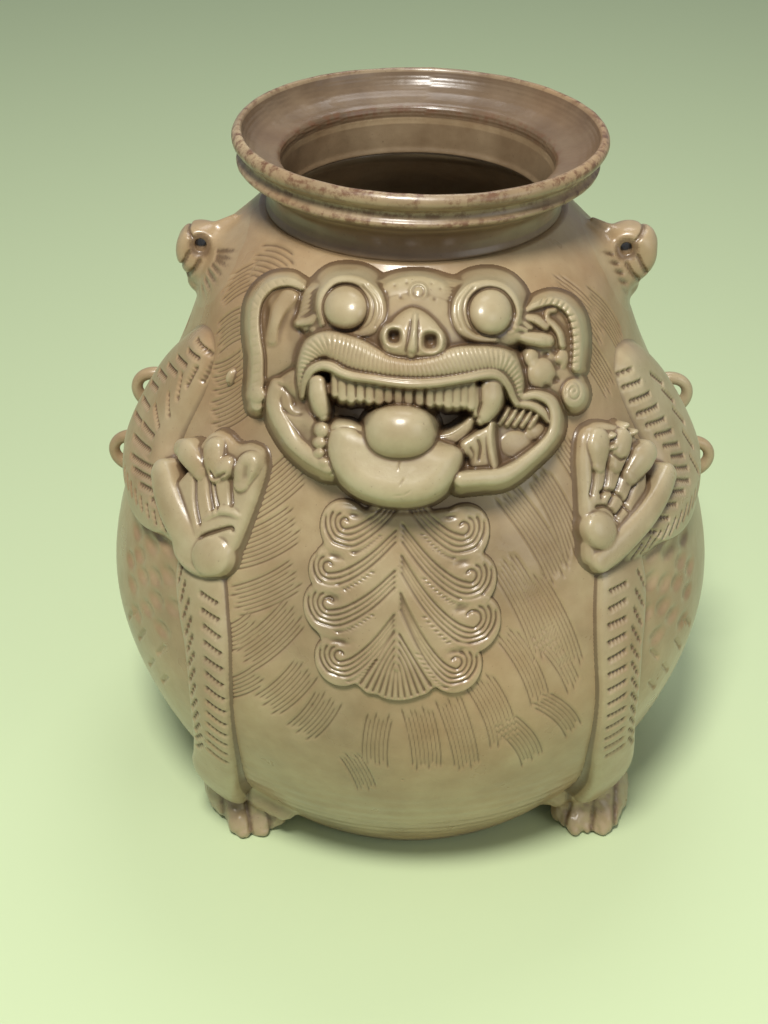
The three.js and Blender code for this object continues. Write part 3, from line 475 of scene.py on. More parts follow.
def linear(red, green, blue):
    """An sRGB colour of 0 to 255 as linear light."""
    return tuple(((c / 255 + 0.055) / 1.055) ** 2.4 for c in (red, green, blue))


def noise(tree, scale, detail, rough=0.55):
    """Noise in space, with scale waves to the metre."""
    where = tree.nodes.new("ShaderNodeTexCoord")
    item = tree.nodes.new("ShaderNodeTexNoise")
    item.inputs["Scale"].default_value = scale
    item.inputs["Detail"].default_value = detail
    item.inputs["Roughness"].default_value = rough
    tree.links.new(where.outputs["Object"], item.inputs["Vector"])
    return item.outputs["Fac"]


def attribute(tree, name):
    item = tree.nodes.new("ShaderNodeAttribute")
    item.attribute_name = name
    return item.outputs["Fac"]


def span(tree, value, low, high, to_low=0.0, to_high=1.0):
    """value, with low to high turned into to_low to to_high and held between them."""
    item = tree.nodes.new("ShaderNodeMapRange")
    for socket, number in zip(item.inputs[1:5], (low, high, to_low, to_high)):
        socket.default_value = number
    tree.links.new(value, item.inputs[0])
    return item.outputs[0]


def bump(tree, height, strength, distance):
    """A node that roughens the surface. distance is in metres."""
    item = tree.nodes.new("ShaderNodeBump")
    item.inputs["Strength"].default_value = strength
    item.inputs["Distance"].default_value = distance
    tree.links.new(height, item.inputs["Height"])
    return item


def glaze(name, body, pale, brown, gloss, worn=False):
    """Celadon over iron-bearing clay: it pools brown in cuts and thins to a paler green on crests. Broad
    hollows are darkened towards brown as painted shade.

    gloss is the least roughness. A worn glaze is rubbed through to the clay where the attribute wear says.
    """
    material = bpy.data.materials.new(name)
    material.use_nodes = True
    tree = material.node_tree
    shader = tree.nodes["Principled BSDF"]
    fine, broad = attribute(tree, "fine"), attribute(tree, "broad")
    mottle = ramp(tree, noise(tree, 22, 4), [(0.32, [0.82 * c for c in body]), (0.5, body), (0.7, pale)])
    warmed = mix(tree, span(tree, noise(tree, 9, 3), 0.46, 0.66, 0, 0.55), mottle, linear(160, 126, 90))
    crested = mix(tree, span(tree, broad, 0.1, 2.2, 0, 0.75), warmed, pale)
    pooled = mix(tree, span(tree, fine, -0.03, -0.3, 0, 0.75), crested, brown)
    # Painted shade: broad hollows, such as the pockets of the mouth and the neck under the dish, darken
    # towards brown
    shaded = mix(tree, span(tree, broad, -0.5, -3.2, 0, 0.6), pooled, brown)
    speck = ramp(tree, noise(tree, 900, 2), [(0.69, (0, 0, 0)), (0.76, (1, 1, 1))])
    specked = mix(tree, span(tree, speck, 0, 1, 0, 0.4), shaded, brown)
    cloud = span(tree, noise(tree, 70, 5, 0.6), 0.35, 0.7, 0, 0.35)
    color = mix(tree, cloud, specked, brown, "SOFT_LIGHT")
    if worn:
        rubbed = tree.nodes.new("ShaderNodeMath")
        rubbed.operation = "MULTIPLY"
        tree.links.new(span(tree, noise(tree, 260, 6, 0.7), 0.47, 0.6), rubbed.inputs[0])
        tree.links.new(attribute(tree, "wear"), rubbed.inputs[1])
        color = mix(tree, rubbed.outputs[0], color, linear(98, 66, 44))
    tree.links.new(color, shader.inputs["Base Color"])
    rough = span(tree, noise(tree, 45, 4), 0.3, 0.75, gloss, gloss + 0.16)
    tree.links.new(rough, shader.inputs["Roughness"])
    shader.inputs["Coat Weight"].default_value = 0.25
    shader.inputs["Coat Roughness"].default_value = 0.18
    shader.inputs["IOR"].default_value = 1.5
    grain = bump(tree, noise(tree, 260, 4, 0.6), 0.35, 0.0004)
    waves = bump(tree, noise(tree, 60, 2), 0.25, 0.0015)
    tree.links.new(grain.outputs["Normal"], waves.inputs["Normal"])
    tree.links.new(waves.outputs["Normal"], shader.inputs["Normal"])
    return material


jar_glaze = glaze("jar_glaze", linear(158, 138, 106), linear(172, 154, 120), linear(98, 76, 52), 0.26)
rim_glaze = glaze("rim_glaze", linear(146, 126, 97), linear(168, 148, 116), linear(74, 54, 38), 0.28, True)
relief_glaze = glaze("relief_glaze", linear(160, 144, 113), linear(174, 162, 131), linear(90, 68, 46), 0.26)
beard_glaze = glaze("beard_glaze", linear(158, 139, 108), linear(172, 156, 124), linear(86, 66, 45), 0.28)


# Face
FACE_PITCH = 0.24
face = Sheet((-62, -43), (63, 45), FACE_PITCH, face_place)

# Brow, with dents of a round tool and strokes of a fine one
BROW = [
    (-33, 15.5), (-34.5, 23), (-33, 31), (-28.5, 36.5), (-22, 38.8), (-13.5, 37.3), (-5, 38.4), (4, 38.8),
    (13, 37.6), (21, 37.2), (29, 36.6), (34.5, 32.5), (37.5, 25), (36.5, 18), (30, 14.5), (16, 12.5),
    (0, 11.5), (-14, 12.5), (-25, 14.5),
]
face.plate("brow", BROW, 11.2, 5)
face.ball("brow", (1, 31), (13, 8), 10.6, 2.8, radius=3)
face.ball("brow", (0.5, 20), (19, 13), 9, 7.6, radius=4)
for across, up in (
    (-9, 33), (-6, 35.5), (-2, 36.5), (6.5, 36.4), (9.5, 34.6), (-4, 31.5), (7.4, 31), (-10.4, 29.8),
):
    face.dent("brow", (across, up), (0.7, 0.7), 0.5, power=2)
for row in range(6):
    face.dent("brow", (12.4 + 0.3 * row, 36.4 - 1.2 * row), (1.8, 0.26), 0.5, -8)
    face.dent("brow", (-12.4 + 0.5 * row, 36 - 1.1 * row), (1.5, 0.24), 0.4, 25)

# Sockets and eyes. The rows of a roll are (across, up, half width, lift of its sides, crown over them)
LEFT_SOCKET = [
    (-30.2, 22.6, 0.9, 11, 1.4), (-31.3, 28, 1.2, 12, 2), (-30.2, 33, 1.5, 12.6, 2.4),
    (-26.6, 36.8, 1.6, 13, 2.6), (-21.6, 37.6, 1.6, 13.4, 2.6), (-16.8, 36.2, 2, 13.6, 2.8),
    (-12.9, 32, 2.8, 13.6, 3), (-11.9, 26.6, 3.2, 13.4, 3), (-13.8, 21.8, 2.8, 13, 2.8),
    (-18.4, 19.2, 1.5, 12.4, 2), (-23, 18.8, 0.9, 11.6, 1.4),
]
RIGHT_SOCKET = [
    (34.9, 22, 0.9, 10, 1.4), (35.9, 27, 1.1, 11, 2), (34.2, 32, 1.4, 12, 2.4),
    (30.4, 35.6, 1.5, 12.6, 2.6), (25.2, 36.6, 1.6, 13.2, 2.6), (20, 35, 2, 13.6, 2.8),
    (16.7, 31, 2.5, 13.6, 3), (16, 26, 2.8, 13.4, 3), (18, 21, 2.6, 13, 2.8), (22.6, 18.2, 1.6, 12.4, 2),
    (28, 17.6, 0.9, 11.6, 1.4),
]
EYES = {
    # the rows of the socket, its inner line, its outer line, the middle of the eyeball and its half sizes
    "left": (
        LEFT_SOCKET, [(-17.4, 35.6), (-13.8, 31.6), (-13, 27), (-14.6, 22.6), (-18.6, 20.2)],
        [(-15.4, 36), (-11.6, 31.4), (-10.8, 26.4), (-12.6, 21.4)], (-22.4, 28.1), (7.6, 7.5)),
    "right": (
        RIGHT_SOCKET, [(21, 35.4), (17.9, 31.6), (17.2, 26.8), (18.8, 22), (22.4, 19.2)],
        [(18.8, 35.6), (15.2, 31), (14.7, 26), (16.6, 21)], (26.3, 27.1), (7.4, 7.8)),
}
for side, (rows, inner_line, outer_line, middle, half) in EYES.items():
    face.roll(side + "_socket", rows, square=2.4, slope=3)
    face.groove(side + "_socket", inner_line, 0.45, 0.9)
    face.groove(side + "_socket", outer_line, 0.4, 0.6)
    face.ball(side + "_eye", middle, half, 13.6, 5.8, slope=7)

# Nose
NOSE = [
    (0.4, 28.3), (4, 27), (7.4, 24.2), (10.2, 20.6), (11.8, 16.2), (10.8, 12.8), (6.5, 11.2), (0.6, 10.8),
    (-6, 11.4), (-9.6, 13.4), (-10.5, 17), (-9, 21.2), (-5.8, 25), (-2.6, 27.4),
]
face.plate("nose", NOSE, 21.6, 6, tilt=(0, -0.12))
for across, up, size in ((-6.1, 18.4, 2), (6.3, 16.9, 2.4)):
    face.ball("nose", (across, up), (size + 2.2, size + 2.2), 20, 2.6, radius=2)
    face.dent("nose", (across, up), (size, size * 1.12), 8, power=2.6)
face.roll("nose", [
    (1, 25.6, 0.7, 20.4, 0.8), (0.7, 20, 0.9, 22, 1.4), (0.1, 14.6, 1.5, 21.8, 1.6),
    (-0.2, 12.4, 1.2, 20.6, 1),
], 1.6)
face.groove("nose", [(-0.4, 24), (-1.3, 18), (-2.2, 13)], 0.5, 0.6)
face.groove("nose", [(2.1, 24), (2.3, 18), (2.2, 13)], 0.4, 0.5)

# The moustache, fluted across, and the bead under it
MOUSTACHE = [
    (-36.9, -1.6, 1.3, 8, 2.4), (-37.1, 4, 1.9, 9.4, 3.4), (-35.7, 9.8, 2.8, 10.6, 4.4),
    (-32.6, 14, 4.2, 11.6, 5), (-28.4, 15.4, 4.8, 12.6, 5.4), (-23.6, 13.9, 5.4, 13.6, 5.6),
    (-18.6, 11.9, 5.7, 14.4, 5.8), (-13.4, 10, 5, 15, 6), (-7.6, 8.4, 4.2, 15.6, 6), (0, 7.6, 3.8, 16, 6),
    (7, 8.2, 4.4, 15.6, 6), (13.6, 9.6, 5.2, 15, 6), (20, 10.4, 5.3, 14, 5.8), (26, 11, 4.6, 13, 5.4),
    (31.4, 9.8, 4.2, 11.6, 5), (35, 5.4, 2.7, 10, 3.8), (36.3, 0.8, 1.8, 9, 3), (35.8, -3.4, 1.2, 8, 2.2),
]
FLUTE_PITCH = 1.5
win, gap, run, side, half = face.roll("moustache", MOUSTACHE, square=2.6)
flutes = 0.5 + 0.5 * np.cos(2 * math.pi * (run + 0.22 * side * gap) / FLUTE_PITCH)
face.layer("moustache")[win] -= 0.5 * flutes**1.6 * np.clip((0.96 * half - gap) / 0.8, 0, 1)

BEAD = [
    (-36.9, -2.2, 0.9, 9.6, 1.6), (-36, 2.6, 1.2, 12, 1.8), (-34, 6.6, 1.5, 14.6, 1.8),
    (-30.6, 8.4, 1.6, 16.4, 1.8), (-27.2, 8, 1.7, 17.4, 1.8), (-23.4, 6, 1.6, 18.2, 1.8),
    (-19.2, 4.8, 1.6, 18.8, 1.8), (-13.6, 4.1, 1.6, 19.2, 1.8), (-7.6, 3.2, 1.7, 19.6, 1.8),
    (0, 2.6, 1.8, 20, 1.8), (8, 3, 1.7, 19.6, 1.8), (14, 3.9, 1.6, 19.2, 1.8), (19.4, 4.9, 1.6, 18.4, 1.8),
    (24.4, 6, 1.7, 17.2, 1.8), (27.8, 6.1, 1.7, 16, 1.8), (30.6, 4.8, 1.5, 14.6, 1.8),
    (32.8, 1.8, 1.4, 13, 1.8), (34.2, -1.4, 1.3, 11, 1.8), (35.6, -3.8, 1.1, 10, 1.6),
]
face.roll("bead", BEAD, square=2.6, slope=9)
face.groove("bead", [(u, v + 0.7) for u, v, *_ in BEAD[1:-1]], 0.3, 0.6)

# The middle of each tooth, and the gum above them
TEETH = [-26, -23.3, -20.4, -17.3, -14.1, -10.9, -7.7, -4.4, -1, 2.7, 6.2, 9.3, 12.4, 15.2, 17.8, 20.2]
bead_line = spline(BEAD[3:-3])
for order, across in enumerate(TEETH):
    top = np.interp(across, bead_line[:, 0], bead_line[:, 1]) - 0.4
    root = np.interp(across, bead_line[:, 0], bead_line[:, 3]) - 3
    tip = -3.9 - 0.045 * (across + 23) + 0.3 * math.sin(2.4 * order)
    width = 1.62 + 0.1 * math.sin(1.7 * order)
    if order == 0:
        # The first tooth is a short one in the corner of the mouth
        width, tip = 1.3, -2.6
    tooth = [(across, top, width, root, 1.8), (across + 0.1, tip + 1.4, width, root - 1, 1.8)]
    face.roll("teeth", tooth, 0.2, 2.6, 9)
GUM = [
    (-27.4, 0.6, 2, 11.4, 1), (-17, -0.6, 2.9, 13.2, 1), (-4, -1.7, 2.9, 14.2, 1), (8, -2, 2.9, 13.8, 1),
    (20.6, -0.6, 2.6, 12.4, 1),
]
face.roll("teeth", GUM, 0.4, 4, 9)

# Fangs
face.roll("left_fang", [
    (-31.9, 2.6, 2.8, 13.4, 3), (-31.7, -1, 3.1, 13.8, 3.4), (-30.9, -5, 2.9, 13.6, 3.4),
    (-30, -7.8, 2.3, 13, 3), (-29.7, -8.8, 1.7, 12.6, 2.6),
], 0.8, 2.3, 7)
face.roll("right_fang", [
    (27, 1.6, 3.9, 13, 3.4), (27.2, -2, 3.9, 13.4, 3.6), (26.2, -5.6, 3.3, 13.2, 3.4),
    (24.6, -8.6, 2.4, 12.6, 3), (23.6, -9.8, 1.5, 12.2, 2.4),
], 0.8, 2.3, 7)
face.roll("right_fang", [
    (22, 1, 1.8, 12.6, 2.8), (22, -3, 1.9, 12.8, 2.8), (22.2, -7.4, 1.4, 12.2, 2.4),
], 1)
face.groove("right_fang", [(24, -3.4), (22.8, -6.4), (22.4, -8.6)], 0.35, 0.8)

# Lower lip and pearl
LOWER_LIP = [
    (-28, -13), (-28.7, -19), (-27, -25.5), (-23.4, -30.8), (-18, -35), (-11, -37.6), (-4, -38.5), (3, -38),
    (9, -35.7), (13.6, -31.6), (16.7, -26.6), (17.8, -22), (16.2, -19), (11, -17), (4, -14), (-3, -12.6),
    (-10, -12), (-16.6, -11.6), (-21, -10.2), (-25.6, -10.2),
]
face.plate("lower_lip", LOWER_LIP, 20.4, 7.4, tilt=(0.02, -0.2), slope=8)
face.roll("lower_lip", [
    (8, -17, 2.4, 9, 2), (14, -15.6, 2.4, 9.4, 2), (18.4, -12.4, 2, 9.6, 2), (20.4, -9.6, 1.4, 10, 1.6),
], 1.6)
for row in range(4):
    drop = 0.8 * row
    face.groove("lower_lip", [(8.6, -15.6 - drop), (14, -14.6 - drop), (18.6, -11.4 - drop)], 0.25, 0.5)
face.groove("lower_lip", [(-27, -13.4), (-23.6, -12.4), (-19.4, -12.8), (-16.8, -14.6)], 0.5, 0.9)
for across, up, turn in ((-4, -25.4, 80), (-3, -31, 60), (-4.2, -35.5, 5), (-1, -34.6, 35)):
    face.dent("lower_lip", (across, up), (1.5, 0.25), 0.35, turn)
face.ball("pearl", (-3.6, -14.1), (12, 9.5), 17.3, 9.4, 2.3, 0.4, 8)
face.dent("pearl", (3.6, -10.6), (1.8, 0.18), 0.25, -4)

# Jaws
LEFT_JAW = [
    (-49.6, -1), (-48, 2.2), (-44.5, 4.4), (-41, 6.6), (-38.4, 7.4), (-37.8, 3), (-37, -1.4), (-34.6, -4),
    (-33.4, -8), (-31, -10.8), (-27, -12), (-26, -20), (-25.4, -28.6), (-28, -29.4), (-32, -27.2),
    (-36.5, -24), (-41, -20.6), (-43.6, -16.6), (-45.6, -13), (-47.8, -9.4), (-49.6, -6),
]
face.plate("left_jaw", LEFT_JAW, 11, 3.6, tilt=(0.2, -0.04), slope=5)
face.roll("left_jaw", [
    (-45.6, 1.4, 2.4, 7.6, 1.6), (-47, -3.6, 2.4, 7.8, 2.2), (-45.4, -9, 2.6, 8.4, 2.4),
    (-42.4, -14, 2.8, 9.4, 2.6), (-38.4, -19, 2.8, 10.6, 2.6), (-33, -23.2, 2.8, 12, 2.4),
    (-28.4, -26, 2.4, 13, 2),
], 3)
face.dent("left_jaw", (-37.4, -5), (4.6, 3), 3.2, -50, 2)
face.dent("left_jaw", (-36.6, -13.6), (3.4, 4.6), 1.4, 0, 2)
face.groove("left_jaw", [(-46, 2.4), (-43, 0.6), (-40.4, -2.4), (-39.4, -5.6)], 0.8, 0.8)
face.groove("left_jaw", [(-43.6, -6.4), (-40, -8.6), (-36.6, -8.2)], 0.6, 0.6)
for across, up, half in (
    (-30.2, -13.6, (2.5, 2.8)), (-30.9, -17.8, (2.4, 2.2)), (-31, -21.2, (2, 1.7)),
    (-29.4, -24.4, (2, 1.6)),
):
    face.ball("left_jaw", (across, up), half, 13.4, 2.2, radius=1.4)

RIGHT_JAW = [
    (35, -4), (43, -3), (48.4, -7), (48.8, -13), (44, -20), (36, -26), (28, -29), (17, -30), (17.4, -22),
    (19, -15), (28, -9),
]
face.plate("right_jaw", RIGHT_JAW, 7, 2, tilt=(-0.12, 0))
face.roll("right_jaw", [
    (37.8, -1.6, 1.4, 9, 1.8), (42.6, -1, 1.7, 9.4, 2.4), (47.2, -3.2, 2, 9.6, 2.8),
    (48.9, -8, 2, 9.8, 3), (48.3, -13.4, 2, 10, 3), (45.2, -18, 2.1, 10.4, 3.2),
    (40.4, -22.4, 2.3, 11, 3.4), (35.2, -26.4, 2.7, 11.6, 3.6), (30.4, -28.6, 3, 12.6, 3.8),
    (24, -29.2, 3, 13.6, 4), (17.4, -29.8, 3, 14.4, 4),
], 1.4, 2.3, 5)
face.roll("right_jaw", [
    (36.4, -3.8, 1.4, 9, 1.8), (41, -4.4, 1.6, 9.4, 2), (44.6, -6.6, 1.6, 9.4, 2),
    (46.8, -9.4, 1.2, 9, 1.6),
], 1.2)
for tooth in range(5):
    u = 30 + 2.55 * tooth
    v = -10.6 - 0.25 * tooth
    rows = [(u, v, 0.9, 7.6, 1.6), (u + 1.7, v + 2.4, 1, 8, 2), (u + 3, v + 4.8, 0.7, 8, 1.4)]
    face.roll("right_jaw", rows, 0.9)
face.ball("right_jaw", (42.4, -13.2), (3.6, 3), 6.8, 2, radius=2.5)
face.ball("right_jaw", (36, -17.6), (5.6, 4.6), 6.6, 1.6, radius=2.5)
face.plate("right_jaw", [
    (24.4, -12.4), (27.2, -10.4), (27.8, -19), (28.6, -26), (21.4, -26), (19.6, -22.4), (17.4, -21),
    (16.8, -17.6), (20, -15),
], 13.6, 3, tilt=(-0.1, 0.1))
face.roll("right_jaw", [
    (27.3, -10.6, 0.9, 12, 1.4), (26.9, -15, 1.2, 12.4, 2), (27.4, -20, 1.3, 12.4, 2),
    (28.4, -25, 1.2, 12.4, 1.6),
], 1.4)
face.groove("right_jaw", [(22.6, -15.6), (23.6, -19), (23, -23.6)], 0.6, 1.1)
face.groove("right_jaw", [(20, -18.4), (21.4, -21.4), (20.4, -24.4)], 0.5, 0.9)

# Ears
LEFT_EAR = [
    (-35.8, 35.9), (-39.6, 38), (-43.4, 38.5), (-48, 37.2), (-51.4, 34.4), (-54, 30.2), (-55.4, 25),
    (-55.9, 19), (-55.3, 14), (-54.4, 9.5), (-54.8, 5), (-55.6, 1), (-55.4, -4), (-54, -7.2), (-52, -8.1),
    (-50, -7), (-49.4, -3.6), (-49.6, 0.4), (-46.6, 2.8), (-42, 5.8), (-38, 8), (-36.4, 12), (-35, 17),
    (-37.4, 20.6), (-38.4, 26), (-37.2, 31),
]
face.plate("left_ear", LEFT_EAR, 6.2, 3.4, slope=3)
LEFT_HELIX = [
    (-37.4, 35, 1.4, 6.6, 1.4), (-41.4, 36.6, 1.8, 6.8, 1.8), (-46.4, 36, 2, 6.8, 2),
    (-50.3, 33.2, 2.1, 6.8, 2.2), (-52.8, 28.8, 2.1, 6.8, 2.2), (-53.5, 23, 2, 6.8, 2.2),
    (-53.1, 17, 2.2, 6.6, 2.2), (-52.3, 11, 2.3, 6.4, 2.2), (-52.3, 5, 2.4, 6.4, 2.2),
    (-52.6, -1, 2.5, 6.4, 2.2), (-52.4, -5.4, 2.1, 6.2, 2),
]
face.roll("left_ear", LEFT_HELIX, 1, 2.6, 3)
face.roll("left_ear", [
    (-41.6, 31.6, 2.6, 6, 1.4), (-44.8, 27.4, 2.4, 6.2, 1.9), (-46.8, 22, 2, 6.4, 2),
    (-47.4, 17, 1.6, 6, 1.2),
], 3, 2, 2)
face.dent("left_ear", (-49.2, 25), (1.2, 4.4), 1.2, 0, 2)
face.dent("left_ear", (-41, 20), (3, 6), 0.9, 0, 2)
face.ball("left_ear", (-52.3, -1.7), (2.8, 2.9), 7.8, 1.8)
face.groove("left_ear", [
    (-38, 33.2), (-42.4, 34.4), (-47, 33.6), (-50, 30.6), (-51.2, 26), (-51, 18), (-49.9, 12), (-49.8, 4),
], 0.45, 0.8)
for order in range(15):
    across, up = spline(LEFT_HELIX)[14 + 5 * order, :2]
    face.dent("left_ear", (across - 0.6, up), (1.3, 0.25), 0.4, 25 if up < 28 else -50)

RIGHT_EAR = [
    (35.6, 26), (38, 28.4), (41.5, 31.2), (45.5, 32.7), (49.5, 32.1), (53.4, 29.8), (56.2, 25.5),
    (57.6, 19), (57.7, 13), (57, 8), (58.6, 3.6), (59.3, -0.5), (58, -3.8), (55.4, -5.6), (51.8, -5.4),
    (50, -2.8), (46.5, -0.2), (42, 0.2), (38.4, 1.6), (37.4, 7), (36.6, 12), (38, 16), (36, 21),
]
face.plate("right_ear", RIGHT_EAR, 6.4, 3.2, slope=3)
RIGHT_HELIX = [
    (38, 27.4, 1, 7.4, 1.4), (42.4, 29.8, 1.4, 7.8, 1.8), (47, 30.9, 1.6, 8, 2.2),
    (51.4, 29.4, 1.8, 8, 2.4), (54.5, 25.6, 1.9, 8, 2.4), (55.9, 20, 1.9, 7.8, 2.4),
    (56.1, 14, 1.8, 7.6, 2.4), (55.7, 8.6, 1.7, 7.4, 2.4),
]
face.roll("right_ear", RIGHT_HELIX, 1, 2.4, 3)
for order in range(14):
    across, up = spline(RIGHT_HELIX)[16 + 4 * order, :2]
    face.gouge("right_ear", (across - 1.2, up), (1.7, 0.6), 1.1, 12 if up < 26 else 60, 1)
face.roll("right_ear", [
    (48, 27.8, 0.9, 7, 1.6), (45.8, 27.2, 1, 7.2, 1.8), (45.7, 24.8, 1, 7.4, 2),
    (47.8, 22.6, 1.2, 7.8, 2.2), (49.8, 19.8, 1.3, 8, 2.4), (50.8, 16, 1.2, 7.6, 2),
], 1.2)
face.roll("right_ear", [
    (38.4, 25.4, 1.3, 7.8, 1.6), (42, 24.4, 1.6, 8.2, 2), (45, 22.2, 1.3, 8.2, 1.8),
], 1.6)
face.ball("right_ear", (43.6, 6.4), (4.8, 5.2), 6, 3.6, radius=3)
face.ball("right_ear", (50.8, 11.6), (2, 3.2), 6.6, 1.6, radius=2)
face.ball("right_ear", (40.4, 11.6), (2.4, 3), 6.6, 1.8, radius=2)
face.ball("right_ear", (55, -0.4), (4.1, 5), 7.2, 3)
SPIRAL = [
    (54.9, 0), (55.6, 0.9), (54.7, 2), (53.5, 0.6), (54, -1.6), (55.8, -2), (57, 0), (56.4, 2.8),
    (54.4, 3.8), (52.6, 2), (52.4, -1)]
face.groove("right_ear", SPIRAL, 0.35, 0.8)
for across, up, size in (
    (49.8, 9.3, 1.1), (48.4, 14, 1.2), (48.8, 4.3, 1.2), (45.6, 2.2, 0.9), (45.4, 13, 0.8),
):
    face.dent("right_ear", (across, up), (size * 1.2, size), 1.5, power=2)

# Tufts of the cheeks
face.plate("left_tuft", [
    (-30.4, 35.6), (-35.6, 34.4), (-37.4, 30.4), (-38.2, 26.4), (-39.6, 22.6), (-36.8, 20.2),
    (-34.6, 17.2), (-31, 18.6), (-30, 24), (-31, 30),
], 9, 2, tilt=(0.2, 0.04), slope=3)
for row in range(6):
    drop = 1.5 * row
    face.groove("left_tuft", [
        (-37.6 - 0.2 * row, 30.6 - drop), (-35.4, 32 - drop), (-32.4, 34 - drop),
    ], 0.35, 0.6)
face.roll("left_tuft", [
    (-38.4, 22.6, 1.2, 8, 1.4), (-35, 23.2, 1.5, 9, 1.6), (-33, 24.6, 1.2, 9.6, 1.4),
], 1.2)
face.ball("left_tuft", (-33.4, 20.2), (1.2, 1.2), 9, 1.4)
face.dent("left_tuft", (-31.2, 22.4), (1.3, 1.6), 3.4, power=2)
face.dent("left_tuft", (-35.2, 19.4), (1.2, 0.9), 1.6, power=2)
face.roll("right_tuft", [
    (36, 19.2, 1.8, 7.8, 1.8), (40, 18.3, 2.2, 8.2, 2.2), (44, 17.8, 2.4, 8.4, 2.4),
    (46, 17.6, 2.1, 8.2, 2.2),
], 0.8)
face.roll("right_tuft", [(33, 20.2, 1, 9, 2), (36, 21.6, 0.9, 9.2, 1.8), (38.6, 20.8, 0.7, 8.6, 1.4)], 0.8)
face.roll("right_tuft", [(34, 24.6, 1.6, 9, 1.6), (37, 23.6, 1.3, 8.6, 1.4), (40, 21.8, 0.9, 8, 1.2)], 1)
face.dent("right_tuft", (33.4, 21.6), (1, 1.6), 2.4, 20, 2)

# The boss of the forehead: a bead in a raised ring
win, gap, _, _, _ = face.trace([(1.9, 33.6), (2.1, 33.6)], 6)
raised = 1.7 * np.exp(-(((gap - 2.6) / 0.55) ** 2))
knob = 1.5 * np.sqrt(np.clip(1 - (gap / 1.7) ** 2, 0, None))
face.add("boss", win, np.where(gap < 3.1, 12.4 + raised + knob, BURIED))

# Pieces of the face from the lowest to the topmost, with the names of their nodes
FACE_NAMES = dict(
    brow="brow_plate", left_socket="left_eye_socket", right_socket="right_eye_socket",
    left_eye="left_eyeball", right_eye="right_eyeball", nose="nose",
    left_tuft="left_cheek_tuft", right_tuft="right_cheek_tuft",
    left_ear="left_ear", right_ear="right_ear", left_jaw="left_jaw_flare", right_jaw="right_jaw_flare",
    teeth="tooth_row", left_fang="left_fang", right_fang="right_fang", moustache="moustache_lip",
    bead="upper_lip_bead", lower_lip="lower_lip", pearl="pearl", boss="forehead_boss")
for side in ("left", "right"):
    face.seams.update({side + "_socket": 2.4, side + "_tuft": 2.4, side + "_jaw": 2.4, side + "_eye": 0.6})
face.seams.update(pearl=0.5, teeth=0.6)
face.fire(FACE_NAMES, relief_glaze, seam=1.2)


# Limbs, on one sheet for each side
# Across is measured along the wall from LIMB_MIDDLE degrees, towards the right of the picture.
LIMB_MIDDLE = 60
LIMB_PITCH = 0.3
left = Sheet((-68, 20), (66, 220), LIMB_PITCH, round_jar(-LIMB_MIDDLE))
right = Sheet((-66, 20), (68, 220), LIMB_PITCH, round_jar(LIMB_MIDDLE))


def marks(sheet, ends, width, depth):
    """Comb marks on the fur of an arm."""
    for start, end in ends:
        sheet.mark("arm", start, end, width, depth)


def hand(sheet, digits, creases, bow):
    """The digits of a hand, and the creases between them in its palm, each bowed sideways by bow."""
    for piece, rows in digits.items():
        sheet.roll(piece, rows, 1.2, 2.6 if piece == "outer" else 2.4, slope=5)
    for top, bottom in creases:
        middle = ((top[0] + bottom[0]) / 2 + bow, (top[1] + bottom[1]) / 2 - 0.6)
        sheet.groove("palm", [top, middle, bottom], 0.75, 1.9)


# Left arm, leg and hand
LEFT_ARM = [
    (-8, 215.5), (-2, 215), (3.2, 211), (5.6, 203), (5.4, 194), (3.6, 185), (2.6, 177), (5, 170), (12, 164),
    (20, 160), (28, 156), (34, 150), (30, 143), (18, 141.6), (4, 141.6), (-12, 142), (-30, 143), (-44, 148),
    (-50, 160), (-48, 176), (-40, 192), (-26, 206), (-16, 213),
]
left.plate("arm", LEFT_ARM, 5.6, 12, 3, tilt=(-0.03, -0.03), slope=1.5)
left.ball("arm", (-8, 152), (26, 11), 4, 2, radius=4)
LEFT_FUR = [
    ((-9, 208.6), (2.4, 207.4)), ((-10.4, 203.6), (-1, 204)), ((-17, 197.6), (-6, 199)),
    ((-23, 191.6), (-11, 193.4)), ((-30, 185.6), (-18, 188)), ((-34, 179), (-22, 182)),
    ((-36, 172), (-22, 174.6)), ((-38, 165), (-24, 168)), ((3.2, 206), (1.6, 197)),
    ((-1.6, 202.4), (-3.4, 192.4)), ((-8.6, 196.4), (-5, 186.2)), ((-13, 186.6), (-5.6, 179.4)),
    ((-20, 178), (-8.4, 174)), ((-24, 168.4), (-9, 170.4)), ((-28, 161.4), (-7, 166)),
    ((-22, 157), (3, 163.6)), ((-16, 155.2), (9, 161.4)), ((-6, 154.2), (13, 158.6)),
    ((4, 153.8), (17, 155.6)),
]
marks(left, LEFT_FUR, 2.7, 1.9)
marks(left, [((-24 + 5.4 * order, 152), (-19.4 + 5.2 * order, 147.4)) for order in range(9)], 2.2, 1.6)
LEFT_LEG = [
    (33, 147, 11, 0.4, 1.6), (36.5, 138, 11.6, 0.9, 2.6), (42, 127, 11.2, 1, 2.8),
    (47.5, 115, 10.4, 1, 2.8), (50.4, 100, 9.8, 1.1, 2.8), (49.4, 84, 9.6, 1.2, 3),
    (44.6, 66, 9.6, 1.6, 3.4), (37, 50, 10, 2.2, 4.4), (29.5, 38, 10.4, 3, 5.8), (23, 27, 10.8, 3.4, 7),
]
left.roll("leg", LEFT_LEG, 1, 3, 2.2)
left.strokes("leg", [
    (43.6, 136.4), (49.4, 123.6), (53.8, 109), (55.2, 94), (52.4, 78), (46, 60),
], 13, (5, 1.5), 1.6, (-8, -30))
left.strokes("leg", [
    (26.6, 139), (36.8, 125.4), (42.6, 111), (44.6, 94), (42.4, 76), (37.4, 60),
], 13, (4.8, 1.3), 1.4, (94, 42), 4)
